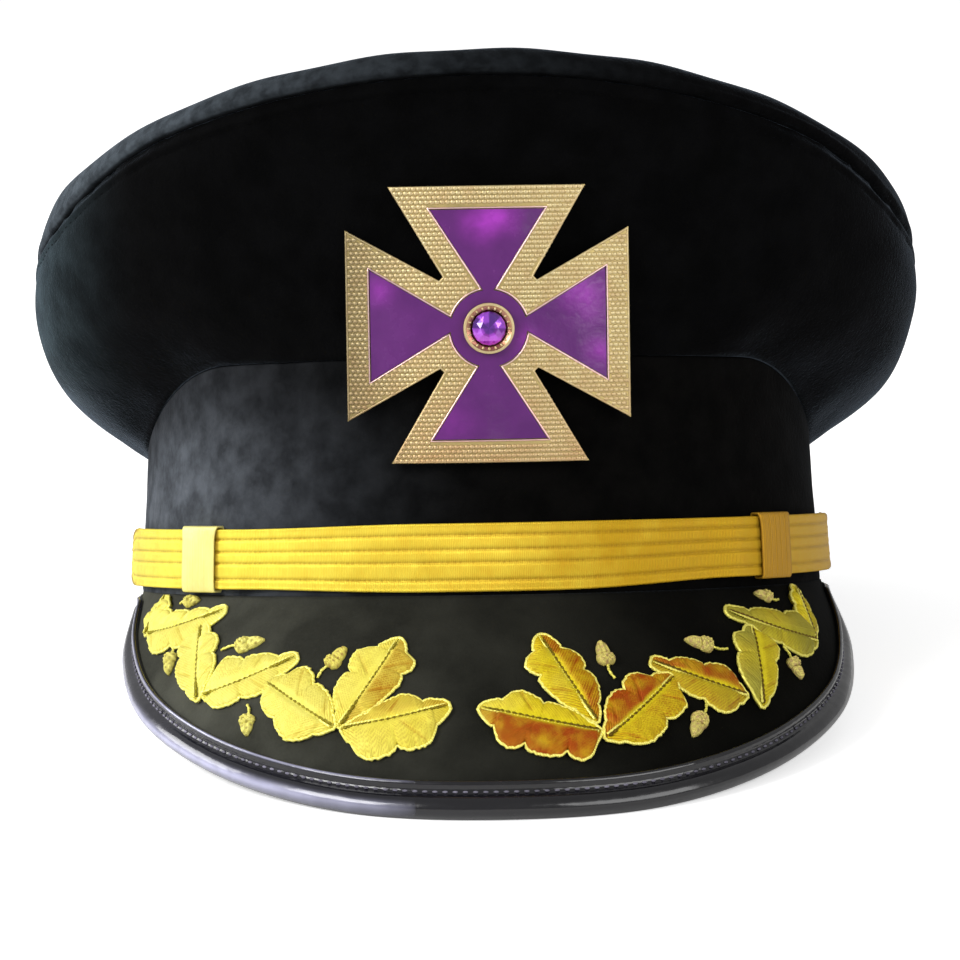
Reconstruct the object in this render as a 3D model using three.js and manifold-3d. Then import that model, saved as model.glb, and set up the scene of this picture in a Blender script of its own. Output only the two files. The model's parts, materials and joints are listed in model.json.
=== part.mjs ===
// A peaked fatigue cap: a soft black crown that swells over a stiff cloth band, a steep cloth-covered visor
// bound in patent leather, a gold lace chin strap with two keepers, an enamelled cross badge with one cut
// stone, and two embroidered sprays of oak leaves and acorns on the visor.
//
// Lengths are in millimetres and angles in degrees. The cap is modelled in its own frame, with the band's
// bottom edge at height 0, the front towards -Y and the wearer's left towards +X. The last lines lean it back
// until it stands on the visor's front edge and the back of the band, as such a cap rests on a shelf.

import * as THREE from "three";
import { ConvexGeometry } from "three/addons/geometries/ConvexGeometry.js";
import { mergeVertices } from "three/addons/utils/BufferGeometryUtils.js";
import Module from "manifold-3d";

const wasm = await Module();
wasm.setup();

// Driving dimensions: the oval of the head
const HALF_WIDTH = 91.5; // outside of the band, across the head
const HALF_LENGTH = 104; // outside of the band, front to back
const GAP = 0.3; // left between pieces that touch on the real cap

// Driving dimensions: band and crown
const BAND_WALL = 2.6; // board and cloth together
const BAND_FRONT_HEIGHT = 57.5;
const BAND_BACK_HEIGHT = 33;
const BAND_DROP_FROM = 47; // degrees round from the front where the band's top edge starts to fall
const BAND_DROP_TO = 100;
const BAND_LEAN_SIDE = 0.06; // inward lean for each millimetre of height
const BAND_LEAN_FRONT = 0.015;
const BAND_EDGE_ROUND = 1.2;
const CROWN_WALL = 2;
const SEAM_MIDDLE = 98.6; // mean height of the seam between the crown's side and its top
const SEAM_SLOPE = 19.4; // it falls this much from front to middle, and again to the back
const SEAM_SADDLE = 9.2; // front and back rise, both sides fall
const SEAM_SWEEP = 2.2; // holds the front's sides up and the back quarters down
const SEAM_LOPSIDED = 0.5; // it sits this much higher on the wearer's right
const TOP_SAG = 1.5; // the top panel hangs this much below a tight skin
const SEAM_CUT_FRONT = 0.1; // the seam is sewn this share of the side's last span below its upper end: in front
const SEAM_CUT_SIDE = 0.68; // and at both sides
const SEAM_CUT_BACK = 0.43;
const SEAM_FALL = [46, 74]; // degrees from the front over which the cut grows, and over which it shrinks again
const SEAM_RISE = [110, 170];

// Driving dimensions: visor and its leather binding
const VISOR_THICK = 2.2;
const VISOR_CAMBER = 0.027; // rise of its middle as a share of its length
const VISOR_REACH = 80; // degrees round the band to each end of the visor
const EDGE_POINTS = [
  // the visor board's edge, from the front to one end: across, forward of the head's middle, below the band
  { across: 0, forward: 140.6, below: 49.6 },
  { across: 36.2, forward: 133.4, below: 48.2 },
  { across: 65.8, forward: 112, below: 41.9 },
  { across: 86.2, forward: 80.4, below: 31.6 },
  { across: 93.6, forward: 44, below: 18.6 },
  { across: 91, forward: 17, below: 3.6 },
];
const VISOR_TWIST = 1.2; // its front edge has swung this far towards the wearer's left
const BINDING_WALL = 0.9;
const BINDING_LAP = 6.8; // how far the leather laps over the visor
const BINDING_NOSE = 1.5; // how far it stands out past the board's edge

// Driving dimensions: chin strap
const STRAP_BOTTOM = 1.1;
const STRAP_WIDTH = 15;
const STRAP_SWELL = 0.115; // it is wider in front by this share
const STRAP_LIFT = 1; // it sits this much higher at the wearer's left end
const STRAP_THICK = 0.9;
const STRAP_REACH = 85; // degrees round to each rounded tip
const UNDERLAY_THICK = 0.8;
const UNDERLAY_FROM = 44;
const UNDERLAY_REACH = 86.5;
const KEEPER_WALL = 0.55;
const KEEPER_MARGIN = 0.9; // how far a keeper stands past the strap's edges
const KEEPER_FROM = 46.8;
const KEEPER_TO = 54.8;

// Driving dimensions: badge
const BADGE_HEIGHT = 65.2; // of its centre above the band's bottom edge
const BADGE_TALL = 0.97; // its height as a share of its width
const SETTING_DROP = 1; // the stone sits this far below the cross's middle
const BADGE_STAND_OUT = 2.5; // of its back from the band's oval
const BADGE_LEAN = 3.2;
const BADGE_BEND_RADIUS = 100; // it follows the round of the cap
const BADGE_REACH = 34.6; // from its centre to the outer edge of each arm
const BADGE_ARM_HALF = 24; // half an arm's outer edge
const BADGE_NOTCH = 11; // the inner corner between two arms lies this far out along both of them
const PLATE_THICK = 1.8;
const POCKET_DEPTH = 1;
const ENAMEL_INSET = 5.6; // of the enamel from an arm's outer edge
const ENAMEL_ARM_HALF = 14.3;
const ENAMEL_NECK_HALF = 1;
const ENAMEL_DISC = 9.6;
const BEZEL_OUTER = 6.2;
const BEZEL_INNER = 4.4;
const STONE_RADIUS = 4.1;

const CLOTH = new THREE.MeshStandardMaterial({ color: 0x14151a, roughness: 0.95, metalness: 0 });
const PATENT = new THREE.MeshStandardMaterial({ color: 0x0b0b10, roughness: 0.18, metalness: 0 });
const GOLD_LACE = new THREE.MeshStandardMaterial({ color: 0xe0b23a, roughness: 0.45, metalness: 0.6 });
const GOLD_THREAD = new THREE.MeshStandardMaterial({ color: 0xf0d038, roughness: 0.4, metalness: 0.6 });
const GILT = new THREE.MeshStandardMaterial({ color: 0xcfb066, roughness: 0.3, metalness: 1 });
const ENAMEL = new THREE.MeshStandardMaterial({ color: 0x6d2c8c, roughness: 0.15, metalness: 0 });
const STONE = new THREE.MeshStandardMaterial({ color: 0x8a1fd0, roughness: 0.05, metalness: 0 });

const sin = (degrees) => Math.sin(THREE.MathUtils.degToRad(degrees));
const cos = (degrees) => Math.cos(THREE.MathUtils.degToRad(degrees));
const { lerp, smoothstep } = THREE.MathUtils;
const steps = (count) => Array.from({ length: count + 1 }, (_, i) => i / count);

// A closed wall between two grids of points, which face each other row by row and column by column.
// round: the last column joins the first. pole: the first row is one point on each face.
function wallGeometry(face, back, { round = false, pole = false } = {}) {
  const corners = [];
  const triangle = (a, b, c) => {
    if (a.distanceTo(b) > 1e-4 && b.distanceTo(c) > 1e-4 && c.distanceTo(a) > 1e-4) corners.push(a, b, c);
  };
  const quad = (a, b, c, d) => {
    triangle(a, b, c);
    triangle(a, c, d);
  };
  const rows = face.length;
  const columns = face[0].length;
  const spans = round ? columns : columns - 1;
  for (let j = 0; j < spans; j++) {
    const k = (j + 1) % columns;
    for (let i = 0; i < rows - 1; i++) {
      quad(face[i][j], face[i][k], face[i + 1][k], face[i + 1][j]);
      quad(back[i][j], back[i + 1][j], back[i + 1][k], back[i][k]);
    }
    if (!pole) quad(face[0][j], back[0][j], back[0][k], face[0][k]);
    quad(face[rows - 1][j], face[rows - 1][k], back[rows - 1][k], back[rows - 1][j]);
  }
  if (!round) {
    const last = columns - 1;
    for (let i = 0; i < rows - 1; i++) {
      quad(face[i][0], face[i + 1][0], back[i + 1][0], back[i][0]);
      quad(face[i][last], back[i][last], back[i + 1][last], face[i + 1][last]);
    }
  }
  return facingOut(new THREE.BufferGeometry().setFromPoints(corners));
}

// Turns every face of a closed geometry round if its faces point inwards.
function facingOut(geometry) {
  const at = geometry.getAttribute("position");
  const [a, b, c] = [new THREE.Vector3(), new THREE.Vector3(), new THREE.Vector3()];
  let volume = 0;
  for (let i = 0; i < at.count; i += 3) {
    a.fromBufferAttribute(at, i);
    b.fromBufferAttribute(at, i + 1);
    c.fromBufferAttribute(at, i + 2);
    volume += a.dot(b.cross(c));
  }
  if (volume < 0) {
    for (let i = 0; i < at.count; i += 3) {
      b.fromBufferAttribute(at, i + 1);
      c.fromBufferAttribute(at, i + 2);
      at.setXYZ(i + 1, c.x, c.y, c.z);
      at.setXYZ(i + 2, b.x, b.y, b.z);
    }
  }
  geometry.computeVertexNormals();
  return geometry;
}

function solidOf(geometry) {
  const bare = new THREE.BufferGeometry();
  bare.setAttribute("position", (geometry.index ? geometry.toNonIndexed() : geometry).getAttribute("position"));
  const merged = mergeVertices(bare, 1e-4);
  return new wasm.Manifold(
    new wasm.Mesh({
      numProp: 3,
      vertProperties: merged.getAttribute("position").array,
      triVerts: new Uint32Array(merged.index.array),
    }),
  );
}

function geometryOf(solid) {
  const mesh = solid.getMesh();
  const geometry = new THREE.BufferGeometry();
  geometry.setAttribute("position", new THREE.BufferAttribute(mesh.vertProperties, 3));
  geometry.setIndex(new THREE.BufferAttribute(mesh.triVerts, 1));
  return geometry;
}

const cap = new THREE.Group();

function piece(name, geometry, material, parent = cap) {
  const mesh = new THREE.Mesh(geometry, material);
  mesh.name = name;
  parent.add(mesh);
  return mesh;
}

// A point on the head's oval: turn is the angle round from the front, towards the wearer's left.
const onOval = (turn, out, height) =>
  new THREE.Vector3((HALF_WIDTH + out) * sin(turn), -(HALF_LENGTH + out) * cos(turn), height);

// Shares of the front, side and back shapes at an angle round the cap.
function shares(turn) {
  const side = sin(turn) ** 2;
  const front = cos(turn) > 0 ? 1 - side : 0;
  return { front, side, back: 1 - side - front };
}

const fromFront = (turn) => Math.abs(((turn + 540) % 360) - 180);

// Band
function bandTop(turn) {
  const fall = smoothstep(fromFront(turn), BAND_DROP_FROM, BAND_DROP_TO);
  return lerp(BAND_FRONT_HEIGHT, BAND_BACK_HEIGHT, fall);
}

function bandLean(turn, height) {
  const { side } = shares(turn);
  return -height * lerp(BAND_LEAN_FRONT, BAND_LEAN_SIDE, side);
}

const CROWN_COLUMNS = 48;
const crownTurns = Array.from({ length: CROWN_COLUMNS }, (_, i) => (360 * i) / CROWN_COLUMNS);

// Height as a share of the band's own height, the round of the edge, and the wall's two faces.
const BAND_ROWS = [
  { share: 0, below: 0, tuck: 0 },
  { share: 0.5, below: 0, tuck: 0 },
  { share: 1, below: BAND_EDGE_ROUND, tuck: 0 },
  { share: 1, below: 0, tuck: 0.8 },
];

function bandGeometry() {
  const wall = (depth, tuckShare) =>
    BAND_ROWS.map(({ share, below, tuck }) =>
      crownTurns.map((turn) => {
        const height = share * bandTop(turn) - below;
        return onOval(turn, bandLean(turn, height) - depth - tuck * tuckShare, height);
      }),
    );
  return wallGeometry(wall(0, 1), wall(BAND_WALL, -1), { round: true });
}
piece("band", bandGeometry(), CLOTH);

// Crown side: out is how far the cloth stands out from the head's oval, and rise its height as a share of
// the way from the band's top edge to the top seam. The side swells out at once; the front stays upright.
const CROWN_ROWS = [
  { frontOut: -0.9, frontRise: 0, sideOut: -2.4, sideRise: 0, backOut: -2.4, backRise: 0 },
  { frontOut: -0.3, frontRise: 0.1, sideOut: 5.6, sideRise: 0.1, backOut: 2.5, backRise: 0.11 },
  { frontOut: 0.4, frontRise: 0.24, sideOut: 13.2, sideRise: 0.2, backOut: 8, backRise: 0.22 },
  { frontOut: 1.1, frontRise: 0.38, sideOut: 19.2, sideRise: 0.3, backOut: 13, backRise: 0.33 },
  { frontOut: 1.8, frontRise: 0.52, sideOut: 23.2, sideRise: 0.41, backOut: 17.5, backRise: 0.45 },
  { frontOut: 3.2, frontRise: 0.65, sideOut: 26, sideRise: 0.55, backOut: 21, backRise: 0.58 },
  { frontOut: 6, frontRise: 0.78, sideOut: 27.5, sideRise: 0.7, backOut: 23.4, backRise: 0.72 },
  { frontOut: 9.6, frontRise: 0.89, sideOut: 26.8, sideRise: 0.85, backOut: 24.2, backRise: 0.86 },
  { frontOut: 13.5, frontRise: 1, sideOut: 24.6, sideRise: 1, backOut: 23.5, backRise: 1 },
];
const ROLL_ROW = CROWN_ROWS[CROWN_ROWS.length - 1];

function seamHeight(turn) {
  const waves = SEAM_SLOPE * cos(turn) + SEAM_SADDLE * cos(2 * turn) - SEAM_SWEEP * cos(3 * turn);
  return SEAM_MIDDLE + waves - SEAM_LOPSIDED * sin(turn);
}

function crownOut(row, turn) {
  const { front, side, back } = shares(turn);
  return front * row.frontOut + side * row.sideOut + back * row.backOut;
}

function crownHeight(row, turn) {
  const { front, side, back } = shares(turn);
  const rise = front * row.frontRise + side * row.sideRise + back * row.backRise;
  return lerp(bandTop(turn) + GAP, seamHeight(turn), rise);
}

// The profile, a list of {out, height}, moved inwards by the wall's thickness square to itself. An end that
// stands steeply is cut level, to meet the next piece.
function insideOf(profile, thickness) {
  const last = profile.length - 1;
  return profile.map((point, i) => {
    const before = profile[Math.max(i - 1, 0)];
    const after = profile[Math.min(i + 1, last)];
    const along = new THREE.Vector2(after.out - before.out, after.height - before.height).normalize();
    const end = i === 0 || i === last;
    if (end && along.y > 0.5) return { out: point.out - thickness / along.y, height: point.height };
    return { out: point.out - thickness * along.y, height: point.height + thickness * along.x };
  });
}

// Two grids, the outside and the inside of a wall whose profile is known at each turn.
function wallFaces(profileAt, thickness) {
  const outside = crownTurns.map(profileAt);
  const inside = outside.map((profile) => insideOf(profile, thickness));
  const grid = (profiles) =>
    profiles[0].map((_, row) => crownTurns.map((turn, j) => onOval(turn, profiles[j][row].out, profiles[j][row].height)));
  return [grid(outside), grid(inside)];
}

// The point of the seam, on the last span of the crown's side.
function seamPoint(turn) {
  const fall = smoothstep(fromFront(turn), ...SEAM_FALL) * (SEAM_CUT_SIDE - SEAM_CUT_FRONT);
  const rise = smoothstep(fromFront(turn), ...SEAM_RISE) * (SEAM_CUT_SIDE - SEAM_CUT_BACK);
  const cut = SEAM_CUT_FRONT + fall - rise;
  const [below, above] = CROWN_ROWS.slice(-2);
  return {
    out: lerp(crownOut(above, turn), crownOut(below, turn), cut),
    height: lerp(crownHeight(above, turn), crownHeight(below, turn), cut),
  };
}

const sideProfile = (turn) => [
  ...CROWN_ROWS.slice(0, -1).map((row) => ({ out: crownOut(row, turn), height: crownHeight(row, turn) })),
  seamPoint(turn),
];
piece("crown_side", wallGeometry(...wallFaces(sideProfile, CROWN_WALL), { round: true }), CLOTH);

// Crown top: the panel turns down over a soft roll to the seam, and is a taut skin inside the roll.
const ROLL_ROWS = [
  { inward: 9, up: 6.9 },
  { inward: 4, up: 6.3 },
  { inward: 0.9, up: 4.4 },
  { inward: -0.5, up: 2 },
];
const PANEL_RINGS = [0.3, 0.6, 0.85];

// Height of a skin stretched over the roll, at a share of the way from the middle to the roll.
function panelHeight(turn, share) {
  const edge = (at) => seamHeight(at) + ROLL_ROWS[0].up;
  const [front, side, back] = [edge(0), edge(90), edge(180)];
  const middle = (front + back + 2 * side) / 4;
  const slope = ((front - back) / 2) * cos(turn);
  const saddle = ((front + back - 2 * side) / 4) * cos(2 * turn);
  const rest = edge(turn) - middle - slope - saddle;
  return middle + slope * share + saddle * share ** 2 + rest * share ** 4 - TOP_SAG * (1 - share ** 2);
}

function topFaces() {
  const rollProfile = (turn) => {
    const seam = seamPoint(turn);
    return [
      ...ROLL_ROWS.map(({ inward, up }) => ({ out: crownOut(ROLL_ROW, turn) - inward, height: seamHeight(turn) + up })),
      { out: seam.out, height: seam.height + GAP },
    ];
  };
  const panelPoint = (turn, share, depth) => {
    const [rim] = rollProfile(turn);
    const edge = onOval(turn, rim.out, rim.height);
    return new THREE.Vector3(edge.x * share, edge.y * share, panelHeight(turn, share) - depth);
  };
  // The roll is walked from the panel down to the seam, so its inside lies on the other hand.
  const rollInside = (turn) => insideOf(rollProfile(turn).reverse(), CROWN_WALL).reverse();
  const face = [0, ...PANEL_RINGS].map((share) => crownTurns.map((turn) => panelPoint(turn, share, 0)));
  const back = [0, ...PANEL_RINGS].map((share) => crownTurns.map((turn) => panelPoint(turn, share, CROWN_WALL)));
  for (let i = 0; i <= ROLL_ROWS.length; i++) {
    const ring = (profile) => crownTurns.map((turn) => onOval(turn, profile(turn)[i].out, profile(turn)[i].height));
    face.push(ring(rollProfile));
    back.push(ring(rollInside));
  }
  return [face, back];
}
piece("crown_top", wallGeometry(...topFaces(), { round: true, pole: true }), CLOTH);

// Visor surface: along runs from -1 to 1 between the visor's ends, and out is 0 at the band and 1 at the edge.
const twist = (forward) => (VISOR_TWIST * forward) / EDGE_POINTS[0].forward;
const edgePoint =
  (side) =>
  ({ across, forward, below }) =>
    new THREE.Vector3(side * across + twist(forward), -forward, -below);
const rightEdge = EDGE_POINTS.slice(1).reverse().map(edgePoint(-1));
const edgeCurve = new THREE.CatmullRomCurve3([...rightEdge, ...EDGE_POINTS.map(edgePoint(1))], false, "catmullrom");
const visorEdge = (along) => edgeCurve.getPoint((along + 1) / 2);

function visorFlat(along, out) {
  const inner = onOval(along * VISOR_REACH, GAP, -2 * GAP);
  return inner.lerp(visorEdge(along), out);
}

function visorNormal(along, out) {
  const before = Math.max(along - 0.005, -1);
  const round = visorFlat(before + 0.01, out).sub(visorFlat(before, out));
  const outward = visorFlat(along, 1).sub(visorFlat(along, 0));
  return outward.cross(round).normalize();
}

const visorLength = (along) => visorFlat(along, 0).distanceTo(visorEdge(along));

function onVisor(along, out, lift) {
  const camber = VISOR_CAMBER * visorLength(along) * 4 * out * (1 - out);
  return visorFlat(along, out).addScaledVector(visorNormal(along, out), camber + lift);
}

const VISOR_COLUMNS = 32;
const visorColumns = steps(VISOR_COLUMNS).map((share) => 2 * share - 1);
const visorRow = (lift) => (out) => visorColumns.map((along) => onVisor(along, out, lift));
const visorFace = (lift) => [0, 0.2, 0.4, 0.6, 0.8, 1].map(visorRow(lift));
piece("visor", wallGeometry(visorFace(0), visorFace(-VISOR_THICK)), CLOTH);

// Binding: a strip of leather folded round the visor's edge. past is measured out from the board's edge, and
// up from the middle of its thickness.
const HALF_BOARD = VISOR_THICK / 2;
const BINDING_INSIDE = HALF_BOARD + GAP;
const BINDING_OUTSIDE = BINDING_INSIDE + BINDING_WALL;
const bindingPath = (half, nose) => [
  { past: -BINDING_LAP, up: half },
  { past: -BINDING_LAP / 2, up: half },
  { past: 0, up: half },
  { past: nose * 0.75, up: half * 0.66 },
  { past: nose, up: 0 },
  { past: nose * 0.75, up: -half * 0.66 },
  { past: 0, up: -half },
  { past: -BINDING_LAP / 2, up: -half },
  { past: -BINDING_LAP, up: -half },
];

function bindingFace(path) {
  return path.map(({ past, up }) =>
    visorColumns.map((along) => {
      const length = visorLength(along);
      const lap = Math.min(1, (length * 0.7) / BINDING_LAP);
      const outward = onVisor(along, 1, 0).sub(onVisor(along, 0.9, 0)).normalize();
      const onBoard = onVisor(along, 1 + (Math.min(past, 0) * lap) / length, up - HALF_BOARD);
      return onBoard.addScaledVector(outward, Math.max(past, 0));
    }),
  );
}
piece(
  "visor_binding",
  wallGeometry(
    bindingFace(bindingPath(BINDING_OUTSIDE, BINDING_NOSE)),
    bindingFace(bindingPath(BINDING_INSIDE, BINDING_NOSE - BINDING_WALL)),
  ),
  PATENT,
);

// Chin strap: the long lace lies on the band in front, and climbs onto a short underlay at each side.
const UNDERLAY_OUT = GAP + KEEPER_WALL + GAP;
const STRAP_SIDE_OUT = UNDERLAY_OUT + UNDERLAY_THICK + GAP;
const strapRise = (turn) => STRAP_LIFT * smoothstep(turn, 8, UNDERLAY_FROM);
const strapOut = (turn) => lerp(GAP, STRAP_SIDE_OUT, smoothstep(Math.abs(turn), UNDERLAY_FROM - 9, UNDERLAY_FROM - 1));
const onBand = (turn, out, height) => onOval(turn, bandLean(turn, height) + out, height);

// Half the strap's width near its end, as a share, where tip is the degrees left to the end.
function tipShare(tip, roundDegrees) {
  const inset = Math.max(0, 1 - tip / roundDegrees);
  return Math.sqrt(Math.max(0.04, 1 - inset ** 2));
}

function laceFace(turns, outAt, shareAt) {
  return [-1, 0, 1].map((across) =>
    turns.map((turn) => {
      const height = STRAP_BOTTOM + strapRise(turn) + (STRAP_WIDTH / 2) * (1 + across * shareAt(turn));
      return onBand(turn, outAt(turn), height);
    }),
  );
}

const TIP_ROUND = 7; // degrees of turn over which a tip is rounded
const tipTurns = [0, 0.07, 0.22, 0.52, 1].map((share) => STRAP_REACH - share * TIP_ROUND);
const strapMiddle = steps(36).map((share) => lerp(-STRAP_REACH + TIP_ROUND, STRAP_REACH - TIP_ROUND, share));
const strapTurns = [
  ...tipTurns.slice(0, -1).map((turn) => -turn),
  ...strapMiddle,
  ...tipTurns.slice(0, -1).reverse(),
];
const strapSwell = (turn) => 1 + STRAP_SWELL * (1 - smoothstep(Math.abs(turn), 10, UNDERLAY_FROM - 2));
const strapShare = (turn) => strapSwell(turn) * tipShare(STRAP_REACH - Math.abs(turn), TIP_ROUND);
piece(
  "strap",
  wallGeometry(
    laceFace(strapTurns, (turn) => strapOut(turn) + STRAP_THICK, strapShare),
    laceFace(strapTurns, strapOut, strapShare),
  ),
  GOLD_LACE,
);

// Keeper: a closed loop round the strap and its underlay.
const KEEPER_BACK = GAP;
const KEEPER_FRONT = STRAP_SIDE_OUT + STRAP_THICK + GAP + KEEPER_WALL;
const KEEPER_LOW = STRAP_BOTTOM - KEEPER_MARGIN;
const KEEPER_HIGH = STRAP_BOTTOM + STRAP_WIDTH + KEEPER_MARGIN;

function keeperGeometry(hand) {
  const turns = steps(3).map((share) => hand * lerp(KEEPER_FROM, KEEPER_TO, share));
  const loop = (inset) => {
    const corners = [
      [KEEPER_BACK + inset, KEEPER_LOW + inset],
      [KEEPER_FRONT - inset, KEEPER_LOW + inset],
      [KEEPER_FRONT - inset, KEEPER_HIGH - inset],
      [KEEPER_BACK + inset, KEEPER_HIGH - inset],
    ];
    return turns.map((turn) => corners.map(([out, height]) => onBand(turn, out, height + strapRise(turn))));
  };
  return wallGeometry(loop(0), loop(KEEPER_WALL), { round: true });
}

for (const [side, hand] of [["left", 1], ["right", -1]]) {
  const turns = steps(9).map((share) => hand * lerp(UNDERLAY_FROM, UNDERLAY_REACH, share));
  const square = () => 1;
  piece(
    `strap_underlay_${side}`,
    wallGeometry(
      laceFace(turns, () => UNDERLAY_OUT + UNDERLAY_THICK, square),
      laceFace(turns, () => UNDERLAY_OUT, square),
    ),
    GOLD_LACE,
  );
  piece(`keeper_${side}`, keeperGeometry(hand), GOLD_LACE);
}

// Badge: its own frame has +X across it, +Y up it and +Z towards the viewer, with 0 at the back of the plate.
const badge = new THREE.Group();
badge.position.copy(onOval(0, BADGE_STAND_OUT, BADGE_HEIGHT));
badge.rotation.x = THREE.MathUtils.degToRad(90 + BADGE_LEAN);
cap.add(badge);

// A curved sheet between two distances in front of the badge's back, wide enough for the whole badge.
function curvedSheet(from, to) {
  const half = BADGE_REACH + 2;
  const reach = Math.asin(half / BADGE_BEND_RADIUS);
  const middle = Math.PI / 2;
  const section = new THREE.Shape();
  section.absarc(0, -BADGE_BEND_RADIUS, BADGE_BEND_RADIUS + to, middle - reach, middle + reach, false);
  section.absarc(0, -BADGE_BEND_RADIUS, BADGE_BEND_RADIUS + from, middle + reach, middle - reach, true);
  const sheet = new THREE.ExtrudeGeometry(section, { depth: 2 * half, bevelEnabled: false, curveSegments: 14 });
  return sheet.translate(0, 0, -half).rotateX(Math.PI / 2);
}

const prism = (shape) =>
  new THREE.ExtrudeGeometry(shape, { depth: 40, bevelEnabled: false, curveSegments: 6 }).translate(0, 0, -20);

// The corners of one arm, turned to each of the four arms in order.
function fourArms(corners) {
  const centre = new THREE.Vector2();
  const turned = [0, 1, 2, 3].flatMap((arm) =>
    corners.map(([x, y]) => new THREE.Vector2(x, y).rotateAround(centre, (-arm * Math.PI) / 2)),
  );
  turned.forEach((corner) => (corner.y *= BADGE_TALL));
  return new THREE.Shape(turned);
}

const crossShape = fourArms([
  [-BADGE_ARM_HALF, BADGE_REACH],
  [BADGE_ARM_HALF, BADGE_REACH],
  [BADGE_NOTCH, BADGE_NOTCH + 0.9],
  [BADGE_NOTCH + 0.9, BADGE_NOTCH],
]);

// A round post through the badge where the stone is set.
function post(radius) {
  const cylinder = new THREE.CylinderGeometry(radius, radius, 40, 32).rotateX(Math.PI / 2);
  return solidOf(cylinder.translate(0, -SETTING_DROP, 0));
}

// The enamel's four arms meet a round field; grow widens it all round.
function enamelSolid(grow) {
  const end = BADGE_REACH - ENAMEL_INSET + grow;
  const neck = ENAMEL_DISC - 2;
  const arms = fourArms([
    [-ENAMEL_NECK_HALF - grow, neck],
    [-ENAMEL_ARM_HALF - grow * 1.6, end],
    [ENAMEL_ARM_HALF + grow * 1.6, end],
    [ENAMEL_NECK_HALF + grow, neck],
  ]);
  return solidOf(prism(arms)).add(post(ENAMEL_DISC + grow));
}

const pocket = enamelSolid(0).intersect(solidOf(curvedSheet(PLATE_THICK - POCKET_DEPTH, PLATE_THICK + 3)));
const plate = solidOf(curvedSheet(0, PLATE_THICK)).intersect(solidOf(prism(crossShape))).subtract(pocket);
piece("cross_plate", geometryOf(plate), GILT, badge);

const enamelFrom = PLATE_THICK - POCKET_DEPTH + GAP;
const enamel = enamelSolid(-GAP)
  .intersect(solidOf(curvedSheet(enamelFrom, PLATE_THICK - 0.1)))
  .subtract(post(BEZEL_OUTER + GAP));
piece("cross_enamel", geometryOf(enamel), ENAMEL, badge);

const setting = new THREE.Group();
setting.position.y = -SETTING_DROP;
badge.add(setting);

// Bezel: a turned ring with a ledge that carries the stone.
const BEZEL_BASE = enamelFrom;
const bezelProfile = [
  [BEZEL_INNER - 1.3, BEZEL_BASE],
  [BEZEL_OUTER, BEZEL_BASE],
  [BEZEL_OUTER, BEZEL_BASE + 1.5],
  [BEZEL_OUTER - 0.5, BEZEL_BASE + 2.2],
  [BEZEL_INNER + 0.3, BEZEL_BASE + 2.2],
  [BEZEL_INNER, BEZEL_BASE + 1.9],
  [BEZEL_INNER, BEZEL_BASE + 0.9],
  [BEZEL_INNER - 1.3, BEZEL_BASE + 0.5],
  [BEZEL_INNER - 1.3, BEZEL_BASE],
].map(([radius, height]) => new THREE.Vector2(radius, height));
const bezelRing = new THREE.LatheGeometry(bezelProfile, 24).rotateX(Math.PI / 2);
piece("stone_bezel", facingOut(bezelRing.toNonIndexed()), GILT, setting);

// Stone: an eight-sided table, eight star corners, a round girdle and a shallow pointed back.
function stoneGeometry() {
  const ring = (count, radius, height, offset) =>
    Array.from({ length: count }, (_, i) => {
      const angle = (360 * (i + offset)) / count;
      return new THREE.Vector3(radius * cos(angle), radius * sin(angle), height);
    });
  const girdle = BEZEL_BASE + 1.5;
  const points = [
    ...ring(8, STONE_RADIUS * 0.52, girdle + 1.5, 0),
    ...ring(8, STONE_RADIUS * 0.8, girdle + 1, 0.5),
    ...ring(16, STONE_RADIUS, girdle + 0.25, 0),
    ...ring(16, STONE_RADIUS, girdle, 0),
    ...ring(8, STONE_RADIUS * 0.62, girdle - 0.35, 0.5),
  ];
  return new ConvexGeometry(points);
}
piece("stone", stoneGeometry(), STONE, setting);

// Embroidery: each leaf or acorn is a low cushion sewn to the visor. from and to are its base and its tip on
// the visor surface, as [along, out], and half is half its width.
const LEFT_LEAVES = [
  { from: [0.15, 0.73], to: [-0.03, 0.56], half: 8.8 },
  { from: [0.133, 0.59], to: [0.073, 0.2], half: 6.6 },
  { from: [0.17, 0.71], to: [0.272, 0.51], half: 6.8 },
  { from: [0.405, 0.64], to: [0.262, 0.36], half: 5.2 },
  { from: [0.43, 0.74], to: [0.485, 0.34], half: 5.6 },
  { from: [0.65, 0.5], to: [0.46, 0.13], half: 4.8 },
  { from: [0.69, 0.5], to: [0.74, 0.08], half: 4 },
];
const RIGHT_LEAVES = [
  { from: [-0.225, 0.72], to: [-0.073, 0.55], half: 8.8 },
  { from: [-0.23, 0.59], to: [-0.162, 0.21], half: 7 },
  { from: [-0.25, 0.68], to: [-0.365, 0.54], half: 7 },
  { from: [-0.49, 0.65], to: [-0.345, 0.33], half: 5.6 },
  { from: [-0.51, 0.73], to: [-0.572, 0.34], half: 5.8 },
  { from: [-0.745, 0.47], to: [-0.545, 0.1], half: 4.8 },
  { from: [-0.785, 0.5], to: [-0.79, 0.08], half: 4 },
];
const LEFT_ACORNS = [
  { from: [0.407, 0.38], to: [0.333, 0.29], half: 2.5 },
  { from: [0.18, 0.44], to: [0.173, 0.26], half: 2.5 },
  { from: [0.32, 0.63], to: [0.278, 0.77], half: 2.5 },
  { from: [0.542, 0.47], to: [0.54, 0.69], half: 2.3 },
  { from: [0.62, 0.14], to: [0.565, 0.06], half: 2 },
];
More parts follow.
